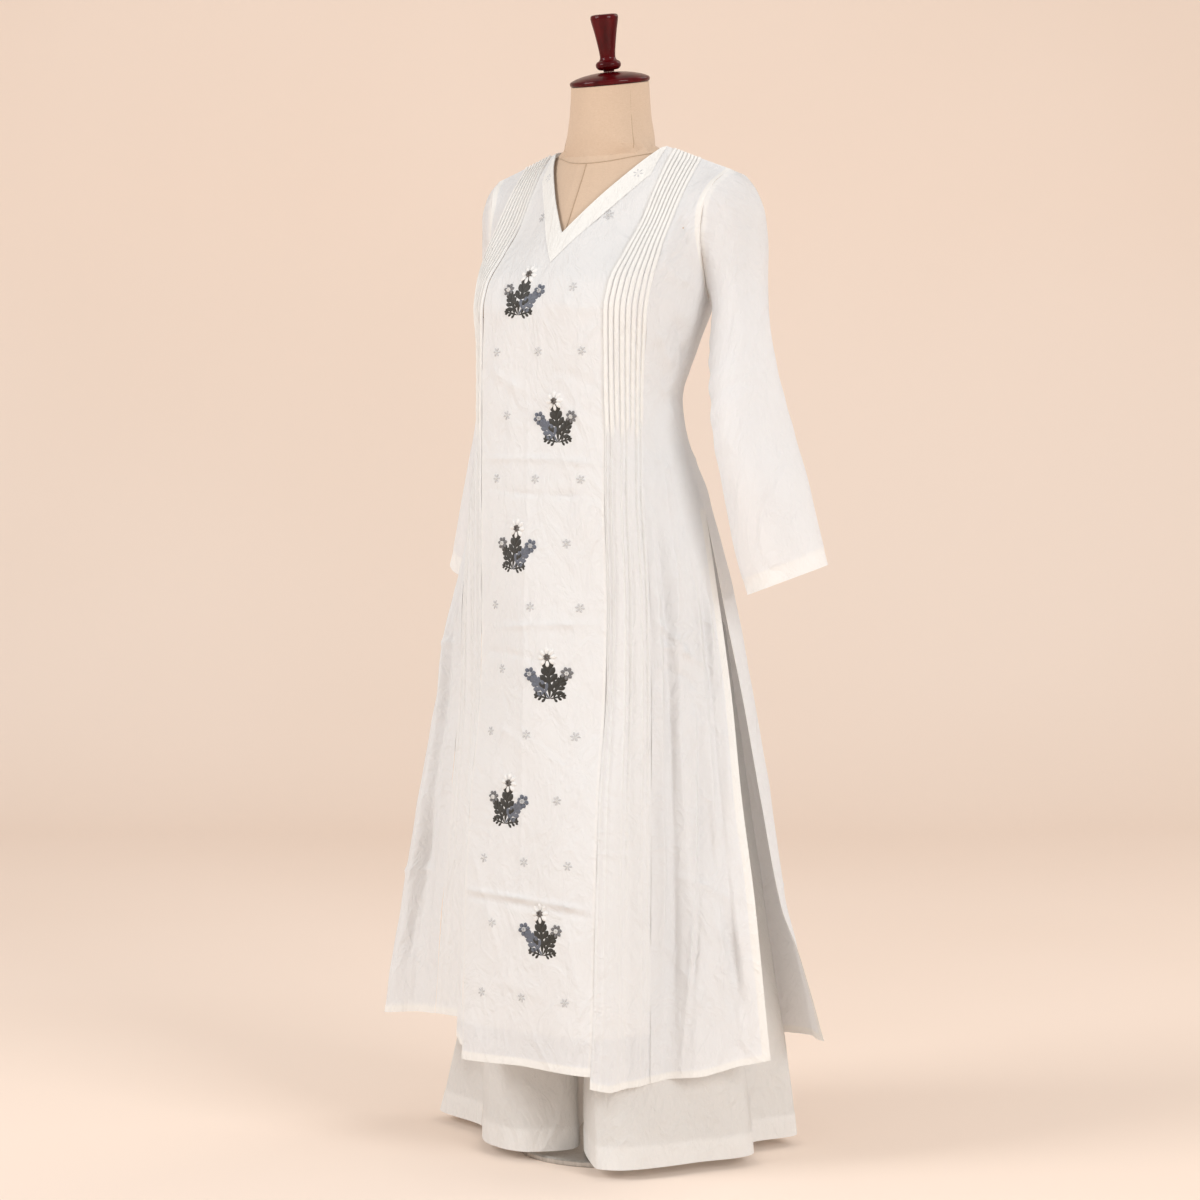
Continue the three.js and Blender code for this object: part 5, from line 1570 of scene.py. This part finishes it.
@dataclass
class Outfit:
    """The whole set: makes every piece and ties it to the frame."""

    frame: dict
    pieces: list[bpy.types.Object] = field(default_factory=list)

    def tie(self, piece: bpy.types.Object, slot: str, *nodes: str) -> bpy.types.Object:
        """Makes a piece ride on the root and stand for its nodes."""
        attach(piece, "root")
        if nodes:
            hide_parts(*nodes)
        self.pieces.append(piece)
        return piece

    def cloth(self) -> ClothGrid:
        """Makes all the cloth and returns the centre panel's grid."""
        voile = Finishes.cloth(ClothFinish(
            "kurta_voile", (0.86, 0.865, 0.875), (0.875, 0.875, 0.875), (0.905, 0.89, 0.855), 0.28,
        ))
        sheer = Finishes.cloth(ClothFinish(
            "sleeve_voile", (0.875, 0.875, 0.88), (0.88, 0.875, 0.87), (0.90, 0.89, 0.87), 0.34,
        ))
        plain = Finishes.cloth(ClothFinish(
            "trouser_voile", (0.84, 0.825, 0.80), (0.85, 0.835, 0.81), (0.855, 0.84, 0.815), 0.28,
        ))
        form = KurtaForm()
        panels, sleeves, trousers = KurtaPanels(form), SleeveMaker(form), TrouserMaker()
        centre = panels.front_centre()
        grids: dict[str, tuple[ClothGrid, bpy.types.Material]] = {
            "front_centre_cloth": (centre, voile),
            "back_cloth": (panels.back(), voile),
            "neck_band_cloth": (panels.neck_band(), voile),
            "waistband_cloth": (trousers.waistband(), plain),
        }
        for side in Side:
            grids[f"tucks_{side.label}_cloth"] = (panels.tucks(side), voile)
            grids[f"front_{side.label}_cloth"] = (panels.front_side(side), voile)
            grids[f"sleeve_{side.label}_cloth"] = (sleeves.grid(side), sheer)
            grids[f"trouser_front_{side.label}_cloth"] = (trousers.panel(side, 0, 5), plain)
            grids[f"trouser_back_{side.label}_cloth"] = (trousers.panel(side, 5, 10), plain)
        for name, (grid, material) in grids.items():
            self.tie(MeshMaker.cloth(name, grid, material), "cloth", CUTS[name].node)
        return centre

    def stitch(self, centre: ClothGrid) -> None:
        """Makes the embroidery on the centre panel."""
        materials = {hue: Finishes.thread(f"thread_{hue.name.lower()}", *hue.value) for hue in Hue}
        for piece in Embroidery(centre).make(materials):
            self.tie(piece, "cloth")

    def dress_form(self) -> None:
        """Finishes the form and its stand."""
        dresser = FormDresser(self.frame["nodes"])
        linen = Finishes.linen(ClothFinish(
            "form_linen", (0.55, 0.40, 0.285), (0.65, 0.49, 0.36), (0.7, 0.5, 0.35), 0.0,
            slub=0.45, sheen=0.1,
        ))
        lacquer = Finishes.gloss(GlossFinish(
            "dark_lacquer", (0.09, 0.0008, 0.002), (0.045, 0.0006, 0.0015), 0.3,
            coat=0.3, grain=90.0, specular=0.05,
        ))
        steel = Finishes.gloss(GlossFinish(
            "satin_steel", (0.6, 0.59, 0.57), (0.5, 0.49, 0.47), 0.36, 1.0, grain=240.0,
        ))
        dresser.repaint("form_torso", linen)
        dresser.repaint("stand_post", steel)
        dresser.repaint("stand_foot", steel)
        cap = dresser.turned("cap_lacquer", [
            (46, -0.6), (50.4, -0.4), (51.6, 1.2), (52, 3), (51.4, 5), (49, 6.6), (42, 9.5), (30, 12.5),
            (16, 14.5), (8, 15),
        ], lacquer)
        knob = dresser.turned("knob_lacquer", [
            (7, 15.3), (7, 17), (12, 18.0), (14.8, 20), (16.2, 22.6), (16.3, 25), (14.6, 28), (11.2, 30.4),
            (10, 34), (10.6, 42), (11.5, 48), (14.5, 66), (17.4, 80), (18, 84), (17.4, 86.8), (15, 88.4),
            (9, 89),
        ], lacquer)
        self.tie(cap, "lacquered_wood", "form_cap")
        self.tie(knob, "lacquered_wood", "form_knob")
        self.tie(dresser.neck_cover(linen), "form_linen")
        seam_cloth = Finishes.linen(ClothFinish(
            "form_seam", (0.40, 0.29, 0.19), (0.5, 0.37, 0.25), (0.4, 0.3, 0.2), 0.0, slub=0.3,
        ))
        routes = {
            "form_front_seam": dresser.front_rays(), "form_neck_seam": dresser.base_rays(),
            "form_side_seam_left": dresser.side_rays(Side.LEFT),
            "form_side_seam_right": dresser.side_rays(Side.RIGHT),
        }
        for name, rays in routes.items():
            self.tie(dresser.seam(name, rays, seam_cloth), "form_linen")


def main() -> None:
    """Builds the scene and reports its pieces."""
    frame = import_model()
    studio = Studio()
    studio.camera()
    studio.backdrop()
    studio.lights()
    outfit = Outfit(frame)
    centre = outfit.cloth()
    outfit.stitch(centre)
    outfit.dress_form()
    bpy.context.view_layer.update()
    for piece in outfit.pieces:
        LOG.info("%s: %d faces", piece.name, len(piece.data.polygons))


if __name__ == "__main__":
    logging.basicConfig(level=logging.INFO, format="%(message)s")
    main()
